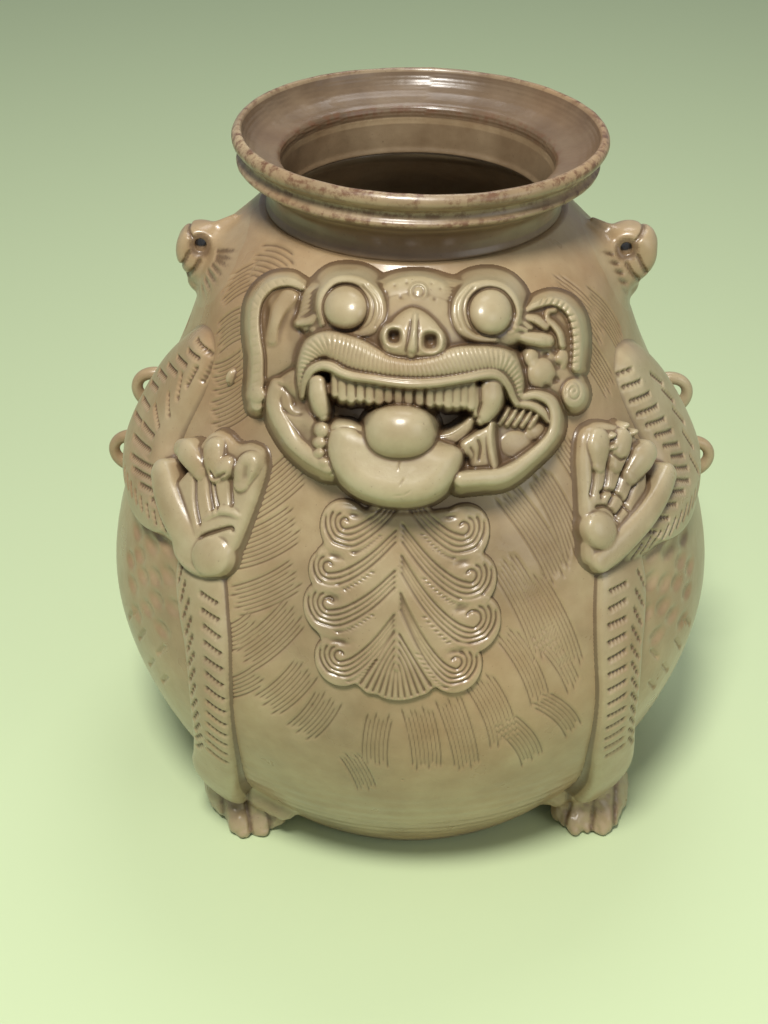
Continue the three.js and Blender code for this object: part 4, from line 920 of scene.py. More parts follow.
left.plate("palm", [
    (21, 149), (26, 143), (32.6, 140.4), (40, 140.6), (45.6, 143.4), (48.8, 149.4), (49.8, 158),
    (49.4, 168), (48.4, 177), (46.8, 184), (43, 188.2), (37.4, 188.6), (32.6, 186.8), (26, 188),
    (20.6, 186.6), (18, 181), (18, 173), (15, 165), (14, 157),
], 5.4, 3, 2, tilt=(-0.06, -0.05), slope=2)
left.ball("palm", (42.4, 149.6), (7.6, 7), 5, 2.6, radius=3)
left.roll("palm", [
    (34.6, 160.6, 1.2, 4.4, 1.4), (38, 164.6, 1.7, 4.6, 1.8), (42.6, 166, 1.5, 4.2, 1.8),
    (46.6, 165.6, 1, 3.6, 1.4),
], 1)
left.groove("palm", [(35, 153.4), (37.6, 156), (41.4, 158.8), (45, 161), (47, 160.4)], 0.7, 1.8)
left.dent("palm", (38.4, 171.6), (6.4, 5), 0.9, -60, 2)
hand(left, dict(
    outer=[
        (32.6, 147.6, 5, 3.2, 3.2), (26.4, 152, 5.8, 4.2, 3.8), (19, 156.6, 6, 5.2, 4),
        (11.6, 161.4, 5.8, 5.6, 4.2), (6.4, 164.8, 5, 5.6, 4.2),
    ],
    second=[
        (23.6, 173.4, 3.2, 5, 1.8), (19.4, 175.4, 4, 5.4, 3.2), (14, 176.6, 4.2, 5.4, 3.6),
        (10.8, 176.2, 3.4, 5, 3.2),
    ],
    third=[(30.6, 175, 3, 4.8, 1.4), (28.2, 178.8, 4.2, 5, 2.8), (26, 182, 4.4, 4.8, 3.2)],
    inner=[(42, 176, 3, 4.6, 1), (41.6, 180, 4.4, 4.6, 2.2), (41.4, 182.4, 4.4, 4.4, 2.4)],
), [
    ((22.4, 171.4), (33.2, 157.4)), ((26, 177), (36, 163.4)), ((28.6, 176), (38, 164.4)),
    ((35, 179.4), (42, 167.6)),
], -0.5)
left.ball("third", (33.4, 178.6), (3.6, 4), 5, 2.4)
left.dent("inner", (42.4, 180), (1.8, 3), 1.2, 20, 2.4)
left.groove("third", [(28.4, 175.4), (31, 173.8), (33, 175), (35.6, 177.4)], 0.5, 1.4)
left.groove("second", [(24, 178.4), (27.4, 180.4), (30, 180.6)], 0.45, 1)
left.ball("pellet", (16.2, 205.4), (1.6, 2.7), 0.4, 1.8)

# Right arm, leg and hand
RIGHT_ARM = [
    (8, 211), (2, 210), (-2.6, 205), (-4, 198), (-3.4, 190), (-2, 182), (-1, 175), (-2, 169), (-8, 165),
    (-18, 161), (-30, 157), (-38, 150), (-34, 142.6), (-22, 140.6), (-6, 140.6), (12, 141), (30, 142),
    (44, 146), (50, 156), (49, 171), (41, 188), (28, 202), (16, 209),
]
right.plate("arm", RIGHT_ARM, 5.6, 12, 3, tilt=(0.03, -0.03), slope=1.5)
right.ball("arm", (8, 151), (26, 11), 4, 2, radius=4)
RIGHT_FUR = [
    ((-2.4, 201.4), (5, 200.4)), ((-1.8, 196.4), (7.6, 194.6)), ((-0.6, 190.6), (10.4, 188.6)),
    ((0.4, 185.4), (12.6, 182.8)), ((2, 180.4), (14.6, 177)), ((4, 175.6), (16.4, 171.4)),
    ((5.6, 170.8), (17, 166)), ((7, 166), (17.4, 161.4)), ((5, 162.6), (16.6, 157)),
    ((0.6, 160.4), (13.4, 153.6)), ((-6.4, 159.4), (7, 153)), ((-11.6, 157.4), (-1, 152)),
    ((-16, 154.6), (-8, 150.2)), ((15, 194), (24, 185)), ((20, 186), (28, 176)), ((23, 177), (30, 167)),
    ((24, 168), (29, 158)), ((21, 160), (25, 150)), ((-22, 152), (-16, 148.6)),
]
marks(right, RIGHT_FUR, 2.7, 1.9)
marks(right, [((-30 + 5.2 * order, 144.2), (-23.6 + 5.1 * order, 149)) for order in range(11)], 2, 1.6)
RIGHT_LEG = [
    (-32.6, 147, 11, 0.4, 1.6), (-35.4, 138, 11.8, 0.9, 2.6), (-39.4, 127, 11.8, 1, 2.8),
    (-43.2, 114, 11, 1, 2.8), (-44.6, 100, 10.2, 1.1, 2.8), (-43.6, 86, 10, 1.2, 3),
    (-40, 71, 10, 1.6, 3.4), (-34, 57, 10.2, 2.2, 4.4), (-27, 43, 10.6, 3, 5.8), (-21, 30, 11, 3.4, 7),
]
right.roll("leg", RIGHT_LEG, 1, 3, 2.2)
right.strokes("leg", [
    (-38.4, 140.6), (-44.4, 125), (-47.8, 107), (-47.4, 91), (-44, 74), (-38.6, 62),
], 13, (5, 1.5), 1.6, (0, 10))
right.strokes("leg", [
    (-25.6, 138.6), (-33.6, 125.6), (-38.8, 110), (-38.8, 92), (-35.4, 76), (-30.4, 62),
], 12, (4.8, 1.3), 1.4, (-78, -46), 4)
right.plate("palm", [
    (-50, 152), (-47.8, 160), (-44.4, 168), (-40.4, 176.6), (-36.6, 184.6), (-31.4, 191.6),
    (-24.4, 192.6), (-17, 189.6), (-11, 185), (-8, 178), (-11, 168), (-17, 160), (-26, 151.4),
    (-36, 146.6), (-45.4, 146.8),
], 5, 3, 2, tilt=(0.05, -0.03), slope=2)
right.ball("palm", (-41, 160), (6.4, 6.4), 5, 3, radius=2)
right.groove("palm", [(-39, 167.8), (-35, 166.6), (-32.8, 163.6), (-32.6, 160)], 0.6, 1.6)
right.groove("palm", [(-35, 171.6), (-30.4, 170.4), (-27, 166.6), (-26.6, 161.4)], 0.6, 1.6)
hand(right, dict(
    outer=[
        (-44.6, 150.2, 4.2, 3.2, 3), (-38, 152.2, 4.5, 4, 3.4), (-29, 155, 4.6, 4.8, 3.8),
        (-19, 158, 4.5, 5.6, 4), (-9, 161.4, 4.4, 5.8, 4.2), (-1.6, 164, 4, 5.8, 4),
    ],
    second=[(-19.4, 171.8, 3.4, 5.2, 2), (-13.6, 174.4, 4.8, 5.6, 4.2), (-8.6, 175.4, 4.4, 5.6, 4.2)],
    third=[(-24, 177.4, 2.8, 4.8, 1.6), (-20, 181.4, 4, 5.2, 2.8), (-16.8, 183.8, 3.8, 5, 3)],
    inner=[(-31, 180, 2.6, 4.6, 1), (-28.4, 185, 4.4, 4.6, 2.2), (-26.6, 187.4, 4.2, 4.4, 2.3)],
), [
    ((-18.6, 168.8), (-33, 161.6)), ((-19.6, 176.6), (-33.6, 166.4)), ((-26.2, 180), (-35.4, 169.4)),
    ((-31.6, 183), (-39.2, 171.4)),
], 0.5)
for across, up in ((-10.4, 183.6), (-13.6, 187.4), (-21.6, 187), (-23, 183.4)):
    right.ball("third", (across, up), (2, 1.2), 5, 2.6, radius=0.5)
right.groove("third", [(-24.4, 181.4), (-22.4, 178.6), (-19.4, 178)], 0.5, 1.4)

# Pieces of the limbs from the lowest to the topmost, with the names of their nodes
LIMB_NAMES = dict(
    leg="{}_leg", arm="{}_arm", palm="{}_palm", outer="{}_outer_digit", second="{}_second_digit",
    third="{}_third_digit", inner="{}_inner_digit", pellet="shoulder_pellet")
for side, sheet in (("left", left), ("right", right)):
    sheet.seams.update(palm=2, leg=1)
    names = {piece: name.format(side) for piece, name in LIMB_NAMES.items() if piece in sheet.layers}
    sheet.fire(names, relief_glaze, seam=1.2)


# Beard
BEARD_MIDDLE = -2
BEARD_PITCH = 0.2
beard = Sheet((-37, 106), (37, 182), BEARD_PITCH, round_jar(BEARD_MIDDLE))
BEARD_EDGE = [
    (-20.4, 177), (-24, 172.4), (-26.2, 168), (-26.4, 164.2), (-28.6, 161.4), (-29.4, 157), (-29.3, 152),
    (-30.6, 147), (-30.4, 140), (-29, 136), (-27, 132.4), (-26.4, 128.4), (-23.4, 123.2), (-20.6, 119.8),
    (-17.6, 117.7), (-14.4, 117.7), (-10.4, 114.7), (-7, 114.3), (-3.6, 112.9), (0.4, 112.4), (4.6, 112.9),
    (8.4, 114.2), (11, 115.2), (14.4, 117.7), (20.6, 117.2), (23.6, 119.6), (25.4, 124), (29.4, 131),
    (31.4, 133.6), (31.8, 138), (30.9, 145.2), (29.6, 148), (29.8, 152), (30.2, 157), (28.8, 165),
    (27.4, 170.4), (25.2, 174.4), (21, 177), (10, 176.6), (0, 176), (-10, 176.4),
]
beard.plate("beard", BEARD_EDGE, 2.4, 1.4, 0.4)
beard.ball("beard", (0, 148), (20, 34), 1.4, 1, radius=2)
CURL_PITCH = 1.8
# Where each line of a curl ends, in degrees, from the innermost one outward
LAST_TURNS = (150, 70, 40, 15)
CURLS = [
    # side, middle of the curl, first radius, lines, how far they rise to the spine, height of its pillow
    (-1, (18.6, 171.6), 1.7, 4, 13, 0.7), (-1, (24.2, 157), 1.9, 3, 16, 0.6),
    (-1, (24, 145), 2.1, 4, 15.5, 0.8), (-1, (19.8, 127.4), 1.9, 4, 18.5, 0.7),
    (1, (21.8, 170.8), 2, 4, 17, 0.7), (1, (24.8, 155.6), 2.1, 4, 19.5, 0.8),
    (1, (26, 141.2), 3, 4, 25, 0.8), (1, (20.6, 126.4), 2.1, 4, 27, 0.7),
]
for side, centre, first, lines, rise, swell in CURLS:
    centre = np.array(centre)
    reach = first + CURL_PITCH * lines
    beard.ball("beard", centre * (side, 1) - (0, 2), (reach, reach), 2, swell, radius=1.2)
    for line in range(lines + 1):
        radius = first + CURL_PITCH * line
        bottom = centre + (-0.26 * radius, -0.97 * radius)
        strand = [
            bottom + ((1 - share) * (0.7 - bottom[0]), rise * (1 - share) ** 1.5)
            for share in (0, 0.3, 0.55, 0.8, 1)]
        if line == lines:
            # Below the last line, a band of short slanted marks
            edge = spline(strand, 12)[16:] - (0, 0.3)
            for spot, after in zip(edge[:-2:3], edge[2::3]):
                slant = math.degrees(math.atan2(after[1] - spot[1], side * (after[0] - spot[0])))
                beard.dent("beard", spot * (side, 1), (0.36, 1.15), 0.7, slant + 38 * side + 90, 2.4)
            continue
        turns = np.radians(np.linspace(-62, LAST_TURNS[line], 5))
        hook = [centre + radius * np.array([math.cos(turn), math.sin(turn)]) for turn in turns]
        beard.groove("beard", [point * (side, 1) for point in [*strand, *hook]], 0.5, 0.95)
FAN_TIPS = (117.4, 116, 115.2, 114.6, 113.8, 113.4, 113.3, 113.6, 114.2, 115, 116, 117.6)
for across, bottom in zip(np.linspace(-13, 12.6, len(FAN_TIPS)), FAN_TIPS):
    start = (math.copysign(0.5, across), 123 + 1.15 * abs(across))
    beard.groove("beard", [start, (0.5 * across, 121.6 + 0.5 * abs(across)), (across, bottom)], 0.5, 0.9)
for centre, half, depth in (
    ((-22.6, 147.4), (2.6, 1.7), 1.2), ((-20, 132.6), (3.6, 1.1), 1), ((-22, 161), (2.6, 1.2), 0.9),
    ((-15.6, 174.6), (2, 0.9), 0.8), ((21.6, 160.6), (3, 1.4), 1), ((22, 145.4), (3, 1.6), 1.2),
    ((21.4, 130.4), (3.4, 1.2), 1), ((17, 174.8), (2.4, 0.9), 0.8),
):
    beard.dent("beard", centre, half, depth, 0, 2.4)
beard.fire(dict(beard="beard_plaque"), beard_glaze)


# Thrown jar
JAR_COLUMNS = 1500
# Points along each part of the outline, and the radius of the smallest ring of points
ROW_PITCH = 0.5
INNER_ROWS = 60
THROAT_ROWS = 8
FLOOR_ROWS = 14
BASE_ROWS = 24
LEAST_RING = 0.5
# How far round a sweep of the comb the wall is worked, in degrees and in mm
COMB_MARGIN = 16


def level(radii, height):
    """Points of the outline that are all at one height."""
    return np.stack([radii, np.full(len(radii), height)], 1)


outer_lengths = run_along(jar_curve)
stations = np.linspace(0, outer_lengths[-1], int(outer_lengths[-1] / ROW_PITCH))
outer = np.stack([np.interp(stations, outer_lengths, jar_curve[:, k]) for k in (0, 1)], 1)
inner_share = np.linspace(0, 1, INNER_ROWS)
inner_fall = (JAR_FLOOR + JAR_WALL - SEAT_HEIGHT) * np.sin(inner_share * math.pi / 2) ** 1.3
inner_height = SEAT_HEIGHT - JAR_WALL + inner_fall
inner = np.stack([np.maximum(THROAT_RADIUS, jar_radius(inner_height) - JAR_WALL), inner_height], 1)
jar_profile = np.vstack([
    outer,
    level(np.linspace(56, THROAT_RADIUS, THROAT_ROWS), SEAT_HEIGHT),
    inner,
    level(np.geomspace(inner[-1, 0], LEAST_RING, FLOOR_ROWS)[1:], JAR_FLOOR),
    level(np.geomspace(LEAST_RING, 79.6, BASE_ROWS), 0),
])

azimuths = np.degrees(np.linspace(0, 2 * math.pi, JAR_COLUMNS, endpoint=False))
azimuths = np.where(azimuths > 180, azimuths - 360, azimuths)
jar_relief = np.zeros((len(jar_profile), JAR_COLUMNS))
wall = slice(0, len(outer))


def patch_near(azimuth, height, half_turn, half_height):
    """Rows and columns of the wall near a spot, and how many degrees each column is from it."""
    turn = (azimuths - azimuth + 180) % 360 - 180
    columns = np.nonzero(np.abs(turn) < half_turn)[0]
    rows = np.nonzero(np.abs(outer[:, 1] - height) < half_height)[0]
    return rows, columns, turn[columns][None, :]


def comb(start, end, sag, lines, pitch=1.35, depth=0.42, width=0.36):
    """One sweep of a comb over the wet jar between two (azimuth, height), bowed by sag in mm."""
    middle, middle_height = (start[0] + end[0]) / 2, (start[1] + end[1]) / 2
    scale = math.radians(1) * jar_radius(middle_height)
    a = np.array([start[0] * scale, start[1]])
    b = np.array([end[0] * scale, end[1]])
    length = np.linalg.norm(b - a)
    along = (b - a) / length
    half_turn = abs(end[0] - start[0]) / 2 + COMB_MARGIN
    half_height = abs(end[1] - start[1]) / 2 + COMB_MARGIN
    rows, columns, turn = patch_near(middle, middle_height, half_turn, half_height)
    x = (turn + middle) * scale - a[0]
    y = outer[rows, 1][:, None] - a[1]
    p = x * along[0] + y * along[1]
    q = x * -along[1] + y * along[0] - sag * (1 - (2 * p / length - 1) ** 2)
    tooth = q / pitch
    nearest = np.clip(np.round(tooth), 0, lines - 1)
    ragged = 1.5 * np.sin(nearest * 2.3 + start[0])
    fade = np.clip((p - ragged) / 2.5, 0, 1) * np.clip((length - p + ragged) / 2.5, 0, 1)
    cut = depth * fade * np.exp(-(((tooth - nearest) * pitch / width) ** 2))
    patch = np.ix_(rows, columns)
    jar_relief[patch] = np.minimum(jar_relief[patch], -cut)


COMBED = [
    # start, end, sag, lines
    ((-60, 236), (-42, 237.5), 1.5, 7), ((-62, 223), (-52, 235), 1, 7), ((-57, 209), (-48, 220), 1, 8),
    ((-54, 196), (-43.5, 208), -1, 8), ((-50, 185), (-40, 198), -1, 8), ((-43, 214), (-34, 228), 1, 7),
    ((-33.8, 163), (-21.9, 183), -0.8, 9), ((-34, 147), (-21.1, 164), -1.2, 9),
    ((-32, 131), (-19.7, 148), -1, 8), ((-28, 112), (-18.3, 136), -1, 9),
    ((-23.2, 96), (-15.6, 117), -1, 8), ((-16.8, 88), (-11.2, 108), -1, 8), ((-36, 114), (-27, 128), -2, 7),
    ((-33, 96), (-25, 110), -1, 6), ((17.8, 178), (26.7, 146), 2, 7), ((25.5, 182), (30.6, 152), 2, 7),
    ((15.1, 157), (22.3, 120), 2, 8), ((20.8, 150), (27.6, 112), 2, 7), ((15.2, 133), (21.4, 103), 2, 6),
    ((21.4, 130), (28.4, 104), 2, 5), ((9.4, 117), (14.4, 86), 2, 8), ((4.7, 111), (8.5, 76), 1, 7),
    ((-1, 108), (1, 78), 1, 8), ((-6.6, 106), (-7.5, 80), -1, 7), ((14, 98), (21, 72), 2, 7),
    ((21, 104), (29, 82), 2, 6), ((-12, 84), (-9, 62), 1, 6), ((44, 236), (56, 214), 2, 7),
    ((47, 214), (53, 196), 1, 7), ((54, 228), (64, 206), 2, 7), ((33, 190), (38, 168), 1, 6),
]
for start, end, sag, lines in COMBED:
    comb(start, end, sag, lines, pitch=1.5, depth=0.62, width=0.46)
chance = np.random.default_rng(11)
# Behind, the jar is combed all over in bands of (height, degrees from sweep to sweep)
for height, step in ((226, 24), (204, 24), (180, 21), (156, 19), (132, 18), (108, 18), (86, 18)):
    for azimuth in np.arange(108, 253, step):
        lean = chance.uniform(-3, 3)
        comb((azimuth + lean, height + 9), (azimuth + step * 0.8, height - 9 + lean), sag=3, lines=7)

# Rings of throwing, strongest near the foot
wall_height = outer[:, 1][:, None]
rings = np.sin(0.9 * wall_height + 0.4 * np.sin(np.radians(azimuths[None, :])))
jar_relief[wall] += 0.1 * rings * np.clip((70 - wall_height) / 30, 0.12, 1)


def dimple(azimuth, height, half, depth):
    """A dent with a round edge in the wall of the jar, half = its half sizes."""
    rows, columns, turn = patch_near(azimuth, height, half_turn=8, half_height=12)
    x = turn * (math.radians(1) * jar_radius(height)) / half[0]
    y = (outer[rows, 1][:, None] - height) / half[1]
    jar_relief[np.ix_(rows, columns)] -= depth * np.exp(-((x**2 + y**2) ** 1.5))


def flank_turn(side, across, height):
    """The azimuth of a spot on the flank, across in mm from the middle of the limbs towards the front."""
    return side * (LIMB_MIDDLE - math.degrees(across / jar_radius(height)))


combed = jar_relief.copy()
FLANK_DIMPLES = [
    # across, height
    (-5, 141), (6, 141.6), (15, 140.6), (-11, 133), (4, 135.4), (19, 131), (-4, 127), (11, 126), (-12, 120),
    (2, 121.4), (15, 118.4), (26, 121), (-6, 112.6), (9, 111), (21, 108.6), (0, 103),
]
FLANK_CUTS = [
    # across and height of both ends
    (-5, 98, 1, 107), (-2, 88, 8, 100), (5, 80, 15, 91), (15, 78, 24, 88), (-12, 92, -5, 101),
    (18, 95, 25, 104),
]
for side in (-1, 1):
    for across, height in FLANK_DIMPLES:
        dimple(flank_turn(side, across, height), height, (4.4, 2.7), 1.25)
    for x0, z0, x1, z1 in FLANK_CUTS:
        start = (flank_turn(side, x0, z0), z0)
        end = (flank_turn(side, x1, z1), z1)
        comb(start, end, sag=0, lines=1, pitch=1, depth=1, width=0.9)
# Pinholes in the glaze
for _ in range(70):
    dimple(chance.uniform(-180, 180), chance.uniform(5, 240), (0.5, 0.5), chance.uniform(0.15, 0.5))

jar_fine = np.zeros_like(jar_relief)
jar_fine[wall] = combed[wall] - blur(combed[wall], 2)
jar = turned("glazed_body_jar", jar_profile, JAR_COLUMNS, jar_glaze, jar_relief, fine=jar_fine, broad=0)
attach(jar, "root")
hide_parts("body_jar")


# Neck and dish mouth
RIM_COLUMNS = 900
RIM_SHIFT = 2.5
RIM_LEAN = math.tan(math.radians(0.96))
LIP_TOP = 279
RIM_OUTLINE = [
    # radius, height, wear
    (48.8, 250, 0), (54.6, 250.05, 0), (54, 253, 0), (53.8, 256, 0), (55, 259.3, 0), (59.5, 262.6, 0),
    (64, 265.6, 0.3), (66, 267.1, 0.9), (66.1, 268.4, 0.9), (65, 269.6, 0.4), (64.5, 271, 0.9),
    (64.9, 272.2, 0.5), (66.6, 273.4, 0.3), (67.9, 274.9, 0.6), (68.2, 276.4, 0.8), (67.7, 277.8, 0.9),
    (66.6, 278.8, 1), (65.4, 278.9, 0.9), (64.6, 278.2, 0.4), (63.6, 275.8, 0), (61.6, 272.9, 0),
    (58.6, 270.8, 0), (55, 269.7, 0), (52.2, 269.1, 0.2), (50.6, 268.2, 0.7), (49.9, 266.6, 0.8),
    (49.7, 264, 0.2), (49.2, 258, 0), (48.9, 253, 0),
]
rim_rows = spline(RIM_OUTLINE, 9, closed=True)
rim_radius, rim_height = rim_rows[:, :1], rim_rows[:, 1:2]
rim_angle = np.linspace(0, 2 * math.pi, RIM_COLUMNS, endpoint=False)[None, :]
# Waves of the hand-thrown rim: how high, how many round the rim, where they start
RIM_WAVES = ((0.16, 3, 0.6), (0.1, 7, 0), (0.05, 23, 1))
rim_waves = sum(size * np.sin(count * rim_angle + start) for size, count, start in RIM_WAVES)
rim_relief = rim_waves * np.clip((rim_height - 252) / 10, 0, 1) * np.clip((68.6 - rim_radius) / 1.2, 0.2, 1)
rim_rings = 0.04 * np.sin(rim_height * 4.2) * ((rim_radius < 64) & (rim_height > 262))


def lean_rim(points):
    """The mouth is set a little to the right, and dips on that side."""
    share = np.clip((points[:, 2] - SEAT_HEIGHT) / (LIP_TOP - SEAT_HEIGHT), 0, 1)
    points = points.copy()
    points[:, 2] -= RIM_LEAN * points[:, 0] * share
    points[:, 0] += RIM_SHIFT * share
    return points


# The inside of the dish is darkened towards brown, and the neck under the dish gets painted shade
inside_dish = (rim_radius < 64.4) & (rim_height > 264)
rim_shade = np.where(inside_dish, -3.2, np.where(rim_height < 262, -2.2, 0))
rim = turned(
    "glazed_rim", rim_rows[:, :2], RIM_COLUMNS, rim_glaze, -np.abs(rim_relief + rim_rings), lean_rim,
    fine=0, broad=rim_shade, wear=rim_rows[:, 2:3])
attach(rim, "root")
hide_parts("neck_and_dish_rim")


# Lugs, loops and feet, from fields of distance
def grid(low, high, pitch):
    """The points of a box, pitch apart."""
    axes = [np.arange(lo, hi, pitch) for lo, hi in zip(low, high)]
    return np.stack(np.meshgrid(*axes, indexing="ij"), -1)


def to_segment(points, a, b):
    """Distance from points to a segment, and how far along it the nearest spot is."""
    a, b = np.array(a, float), np.array(b, float)
    span_ab = b - a
    t = np.clip(((points - a) @ span_ab) / (span_ab @ span_ab), 0, 1)
    return np.linalg.norm(points - a - t[..., None] * span_ab, axis=-1), t


def taper(points, a, b, start, end):
    """A roll of clay from a to b. Its half width goes from start to end."""
    reach, share = to_segment(points, a, b)
    return start + (end - start) * share - reach


def above_jar(points):
    """How far points are outside the wall of the jar."""
    reach = np.hypot(points[..., 0], points[..., 1])
    height = np.clip(points[..., 2], 0, SEAT_HEIGHT)
    slope = jar_radius(height + 1) - jar_radius(height - 1)
    return (reach - jar_radius(height)) * 2 / np.hypot(2, slope)


def luted(body, points, radius):
    """body, a field that is above 0 inside, spread out where it meets the wall, and closed behind it."""
    outside = above_jar(points)
    spread = smooth_max(body, -outside, radius)
    return np.minimum.reduce([spread, outside + ROOT_DEPTH, body + radius])


def fit(side, name, node_name, body, low, pitch, cut=0.0, crest=0.3):
    """The piece of one side, meshed. A left piece is modelled as if it were a right one, then mirrored."""
    cut = cut + np.zeros_like(body)
    # Cuts pool brown through fine and get painted shade through broad; crest makes the glaze of the whole
    # piece paler
    obj = skin(name, body, low, pitch, relief_glaze, fine=-0.4 * cut, broad=crest - 0.5 * cut)
    if side < 0:
        obj.data.transform(Matrix.Scale(-1, 4, (1, 0, 0)))
        obj.data.flip_normals()
    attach(obj, "root")
    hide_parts(node_name)


LUG_PITCH = 0.5
LUG_EYE = (79.4, 234.4)
LUG_EYE_RADIUS = 2.1
LEAF_MARKS = {
    # how far to each side along Y and how high a mark starts, and the same for its end
    -1: [
        ((13, 234.7), (24, 240.6)), ((15.4, 233.9), (26, 238)), ((16.6, 233), (27.4, 235.6)),
        ((17, 231), (29, 232)), ((16.6, 228.2), (29, 228.6)), ((17, 225.4), (28, 224.6)),
        ((16, 222), (26, 219.6)), ((12, 219), (19, 213)),
    ],
    1: [
        ((15, 237), (8, 232)), ((16, 233.4), (8.4, 228.4)), ((16.4, 229.8), (9, 225)),
        ((16.6, 226.4), (10, 222)), ((16.6, 222.6), (11.4, 218.6)), ((15.6, 219), (11, 215)),
        ((11, 216), (7, 211.6)),
    ],
}
LUGS = {
    # middle of the knob, its half width, how far the skirt reaches along Y, middle height of the skirt
    -1: ((80, 231.2), 9.2, 26, 229),
    1: ((81, 231), 10.6, 20, 227),
}
# Lines pressed into the sides of the knob: x and height of both ends
LUG_LINES = (
    ((83.6, 232), (87.4, 225)), ((79.6, 229.4), (81.6, 226)), ((81.6, 226), (85.4, 221)),
    ((86.4, 241), (81, 236)),
)
LOOP_PITCH = 0.4
LOOP_HEIGHTS = {"upper": 169, "lower": 140}
# How far the middle line of a loop stands out, half its height, and half the width of its roll
LOOP_OUT = 8.2
LOOP_UP = 7.0
LOOP_ROLL = 2.5
SIDES = {-1: "left", 1: "right"}
for side, side_name in SIDES.items():
    # Lug, seen along Y: a pinched knob that is pierced, on a skirt of clay pressed out like a leaf
    (middle_x, middle_z), size, skirt_reach, skirt_height = LUGS[side]
    low = np.array([58, -34, 202.0])
    points = grid(low, (95, 34, 251), LUG_PITCH)
    x, y, z = points[..., 0], points[..., 1], points[..., 2]
    knob = size - np.sqrt((x - middle_x) ** 2 + (z - middle_z) ** 2)
    body = -smooth_max(-knob, np.abs(y) - 8 + 0.05 * (z - 232), 6)
    body = smooth_max(body, taper(points, (67, 0, 243.2), (76, 0, 237), 0.7, 3), 3)
    body = smooth_max(body, taper(points, (80.4, 0, 226), (82, 0, 217.4), 7.4, 4.2), 5)
    if side > 0:
        body = smooth_max(body, taper(points, (86.2, 0, 236), (86.8, 0, 235), 4.6, 4.4), 2.4)
    skirt = 3.4 * (1 - (y / skirt_reach) ** 2 - ((z - skirt_height) / 15.5) ** 2) - above_jar(points)
    body = smooth_max(body, skirt, 4)
    cut = np.zeros_like(body)
    for mark_ends in LEAF_MARKS[side]:
        for way in (-1, 1):
            ends = [
                (math.sqrt((jar_radius(height) + 2) ** 2 - reach**2), way * reach, height)
                for reach, height in mark_ends]
            gap, share = to_segment(points, *ends)
            runout = np.sin(np.clip(share, 0.08, 0.92) * math.pi) ** 0.5
            cut += (1.9 if side < 0 else 1) * np.exp(-((gap / 0.9) ** 2)) * runout
    flat = np.stack([x, 0 * y, z], -1)
    for (x0, z0), (x1, z1) in LUG_LINES:
        gap, _ = to_segment(flat, (x0, 0, z0), (x1, 0, z1))
        cut = np.maximum(cut, 0.9 * np.exp(-((gap / 0.8) ** 2)))
    eye = np.hypot(x - LUG_EYE[0], z - LUG_EYE[1])
    cut = np.maximum(cut, 0.8 * np.exp(-(((eye - 3) / 1.4) ** 2)))
    body = luted(body - cut, points, 1.5)
    body = -smooth_max(-body, LUG_EYE_RADIUS - eye, 1.2)
    fit(side, f"glazed_{side_name}_lug", f"{side_name}_shoulder_lug", body, low, LUG_PITCH, cut, 0.5)

    # Loops: a roll of clay bent outward, its ends smeared on the wall
    for where, height in LOOP_HEIGHTS.items():
        reach = float(jar_radius(height))
        low = np.array([reach - 6, -9, height - 14.0])
        points = grid(low, low + (20, 18, 28), LOOP_PITCH)
        outward = np.array([2, 0, -(jar_radius(height + 1) - jar_radius(height - 1))])
        outward /= np.linalg.norm(outward)
        upward = np.array([-outward[2], 0, outward[0]])
        offset = points - np.array([reach, 0, height])
        p, q = offset @ outward, offset @ upward
        angle = np.arctan2(p / LOOP_OUT, q / LOOP_UP)
        off_line = np.hypot(p - LOOP_OUT * np.sin(angle), q - LOOP_UP * np.cos(angle))
        body = LOOP_ROLL + 0.25 * np.cos(2 * angle) - np.hypot(off_line, offset[..., 1])
        body = luted(np.where(p > -2, body, -3), points, 1.6)
        fit(side, f"glazed_{side_name}_{where}_loop", f"{side_name}_{where}_loop", body, low, LOOP_PITCH)

# Feet: an instep against the heel of the jar, toes that point forward and a wing of clay along the wall
FOOT_PITCH = 0.5
INSTEP_MIDDLE = {-1: 71.4, 1: 78}
FEET = {
    # rolls: start, end, half width at the start and at the end
    -1: [
        ((76, -57, 9), (69.4, -74.6, 4.6), 8, 5.4), ((70, -60, 9), (60.6, -73.8, 4.6), 7, 4.8),
        ((73, -66, 24), (50.4, -79.6, 17), 8.6, 5), ((60, -70, 10), (54, -74, 7), 6, 4),
        ((69, -76, 3.6), (68, -80, 2.4), 3.4, 1.6), ((60.4, -75.6, 3.6), (59.6, -79, 2.4), 3.2, 1.5),
        ((64.6, -73, 4), (64.2, -78, 2), 2.6, 1.2),
    ],
    1: [
        ((84, -54, 9), (83.4, -69.6, 4.6), 8, 5.4), ((76, -58, 9), (70.4, -70.6, 4.6), 7, 4.8),
        ((88, -50, 8), (88.6, -58.6, 5), 6, 4.2), ((77, -64, 24), (62.4, -68.4, 16), 8, 5),
        ((68, -64, 9), (64.4, -67, 5), 5.6, 3.6), ((83, -71.4, 3.6), (82, -75.4, 2.4), 3.4, 1.6),
        ((70, -72.4, 3.6), (70.4, -76, 2.4), 3.2, 1.5), ((76.6, -70, 3.6), (76.4, -74.6, 2.2), 2.8, 1.3),
    ],
}
FOOT_CUTS = {
    # x and y of both ends of a cut between the toes
    -1: (((64.6, -80), (72, -58)), ((76, -76), (80, -56)), ((56.6, -78), (66, -64))),
    1: (((77, -78), (79.6, -56)), ((86.6, -74), (87.4, -54)), ((66.4, -74), (73, -60))),
}
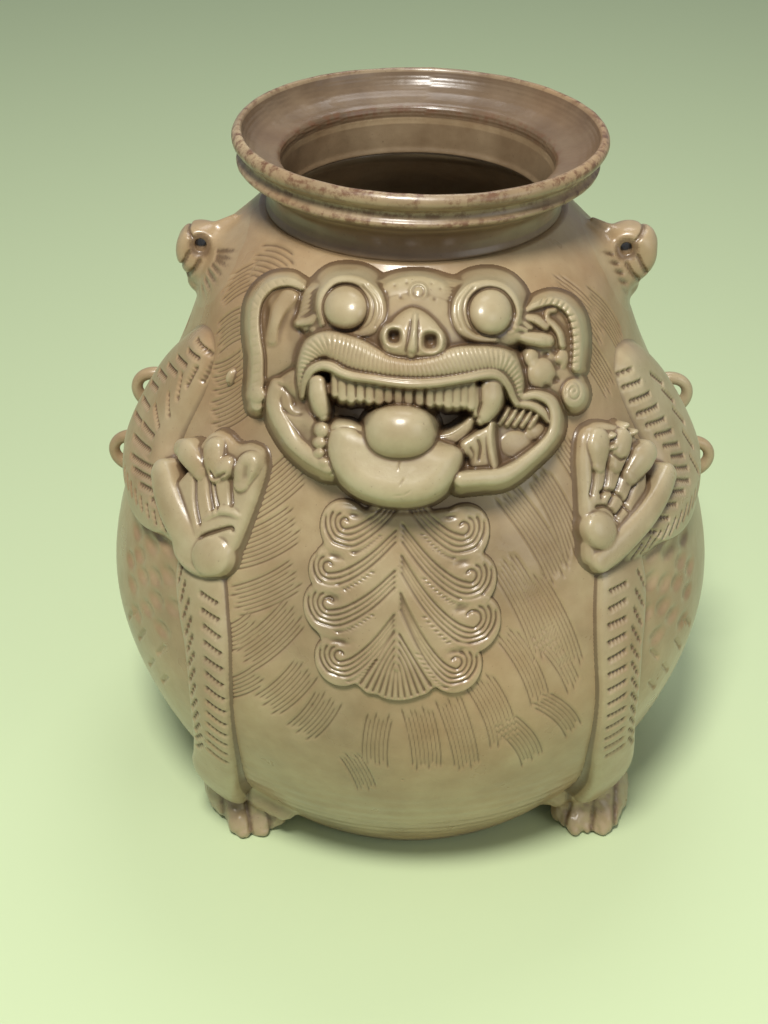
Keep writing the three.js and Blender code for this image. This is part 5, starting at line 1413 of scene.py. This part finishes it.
for side, side_name in SIDES.items():
    low = np.array([42, -92, -1.2])
    points = grid(low, (104, -18, 40), FOOT_PITCH)
    x, y, z = points[..., 0], points[..., 1], points[..., 2]
    instep = (points - (INSTEP_MIDDLE[side], -54, 8)) * (0.9, 0.74, 0.86)
    body = 13.5 - np.linalg.norm(instep, axis=-1)
    for start, end, first, last in FEET[side]:
        body = smooth_max(body, taper(points, start, end, first, last), 4.4)
    cut = np.zeros_like(body)
    plan = np.stack([x, y, 0 * z], -1)
    for (x0, y0), (x1, y1) in FOOT_CUTS[side]:
        gap, share = to_segment(plan, (x0, y0, 0), (x1, y1, 0))
        cut = np.maximum(cut, 0.8 * (1 - share) ** 0.5 * np.exp(-((gap / 1.1) ** 2)))
    ragged = 0.35 * np.sin(0.9 * x + 0.5 * z) * np.sin(0.8 * y - 0.4 * x) * np.sin(0.7 * z + 0.3 * x)
    body = luted(body - cut + ragged, points, 4)
    body = np.minimum(body, z - 0.2)
    fit(side, f"glazed_{side_name}_foot", f"{side_name}_foot", body, low, FOOT_PITCH, cut, 0.7)


# Floor, light and camera
def lamp(name, place, aim, size, power, color=(1, 1, 1)):
    """A round lamp. place, aim and size are in metres."""
    data = bpy.data.lights.new(name, "AREA")
    data.shape = "DISK"
    data.size = size
    data.energy = power
    data.color = color
    obj = bpy.data.objects.new(name, data)
    obj.location = place
    obj.rotation_euler = (Vector(aim) - Vector(place)).to_track_quat("-Z", "Y").to_euler()
    bpy.context.scene.collection.objects.link(obj)


floor_material = bpy.data.materials.new("pale_floor")
floor_material.use_nodes = True
floor_shader = floor_material.node_tree.nodes["Principled BSDF"]
floor_shader.inputs["Base Color"].default_value = (*linear(196, 212, 168), 1)
floor_shader.inputs["Roughness"].default_value = 0.6
FLOOR_HALF = 3000
corners = FLOOR_HALF * np.array([(-1, -1, 0), (1, -1, 0), (1, 1, 0), (-1, 1, 0)])
floor = mesh_object("floor", corners, [(0, 1, 2, 3)], floor_material)

world = bpy.data.worlds.new("studio")
bpy.context.scene.world = world
world.use_nodes = True
sky = world.node_tree.nodes["Background"]
sky.inputs["Color"].default_value = (0.9, 0.95, 1, 1)
sky.inputs["Strength"].default_value = 0.3
lamp("key", (-0.12, -0.62, 1.25), (0, 0, 0.15), 0.3, 18, (1, 0.97, 0.92))
lamp("fill", (1.1, -0.9, 0.7), (0, 0, 0.12), 0.9, 3)
lamp("top", (0.1, 0.5, 1.3), (0, 0, 0.15), 0.6, 3.5)

CAMERA_PITCH = math.radians(33.62)
CAMERA_YAW = math.radians(-1.16)
camera = bpy.data.objects.new("camera", bpy.data.cameras.new("camera"))
camera.location = (0, -0.5396, 0.4699)
camera.rotation_euler = (math.pi / 2 - CAMERA_PITCH, 0, -CAMERA_YAW)
camera.data.lens = 54.14
camera.data.sensor_width = 36
camera.data.sensor_fit = "AUTO"
bpy.context.scene.collection.objects.link(camera)
bpy.context.scene.camera = camera
bpy.context.scene.view_settings.view_transform = "Standard"
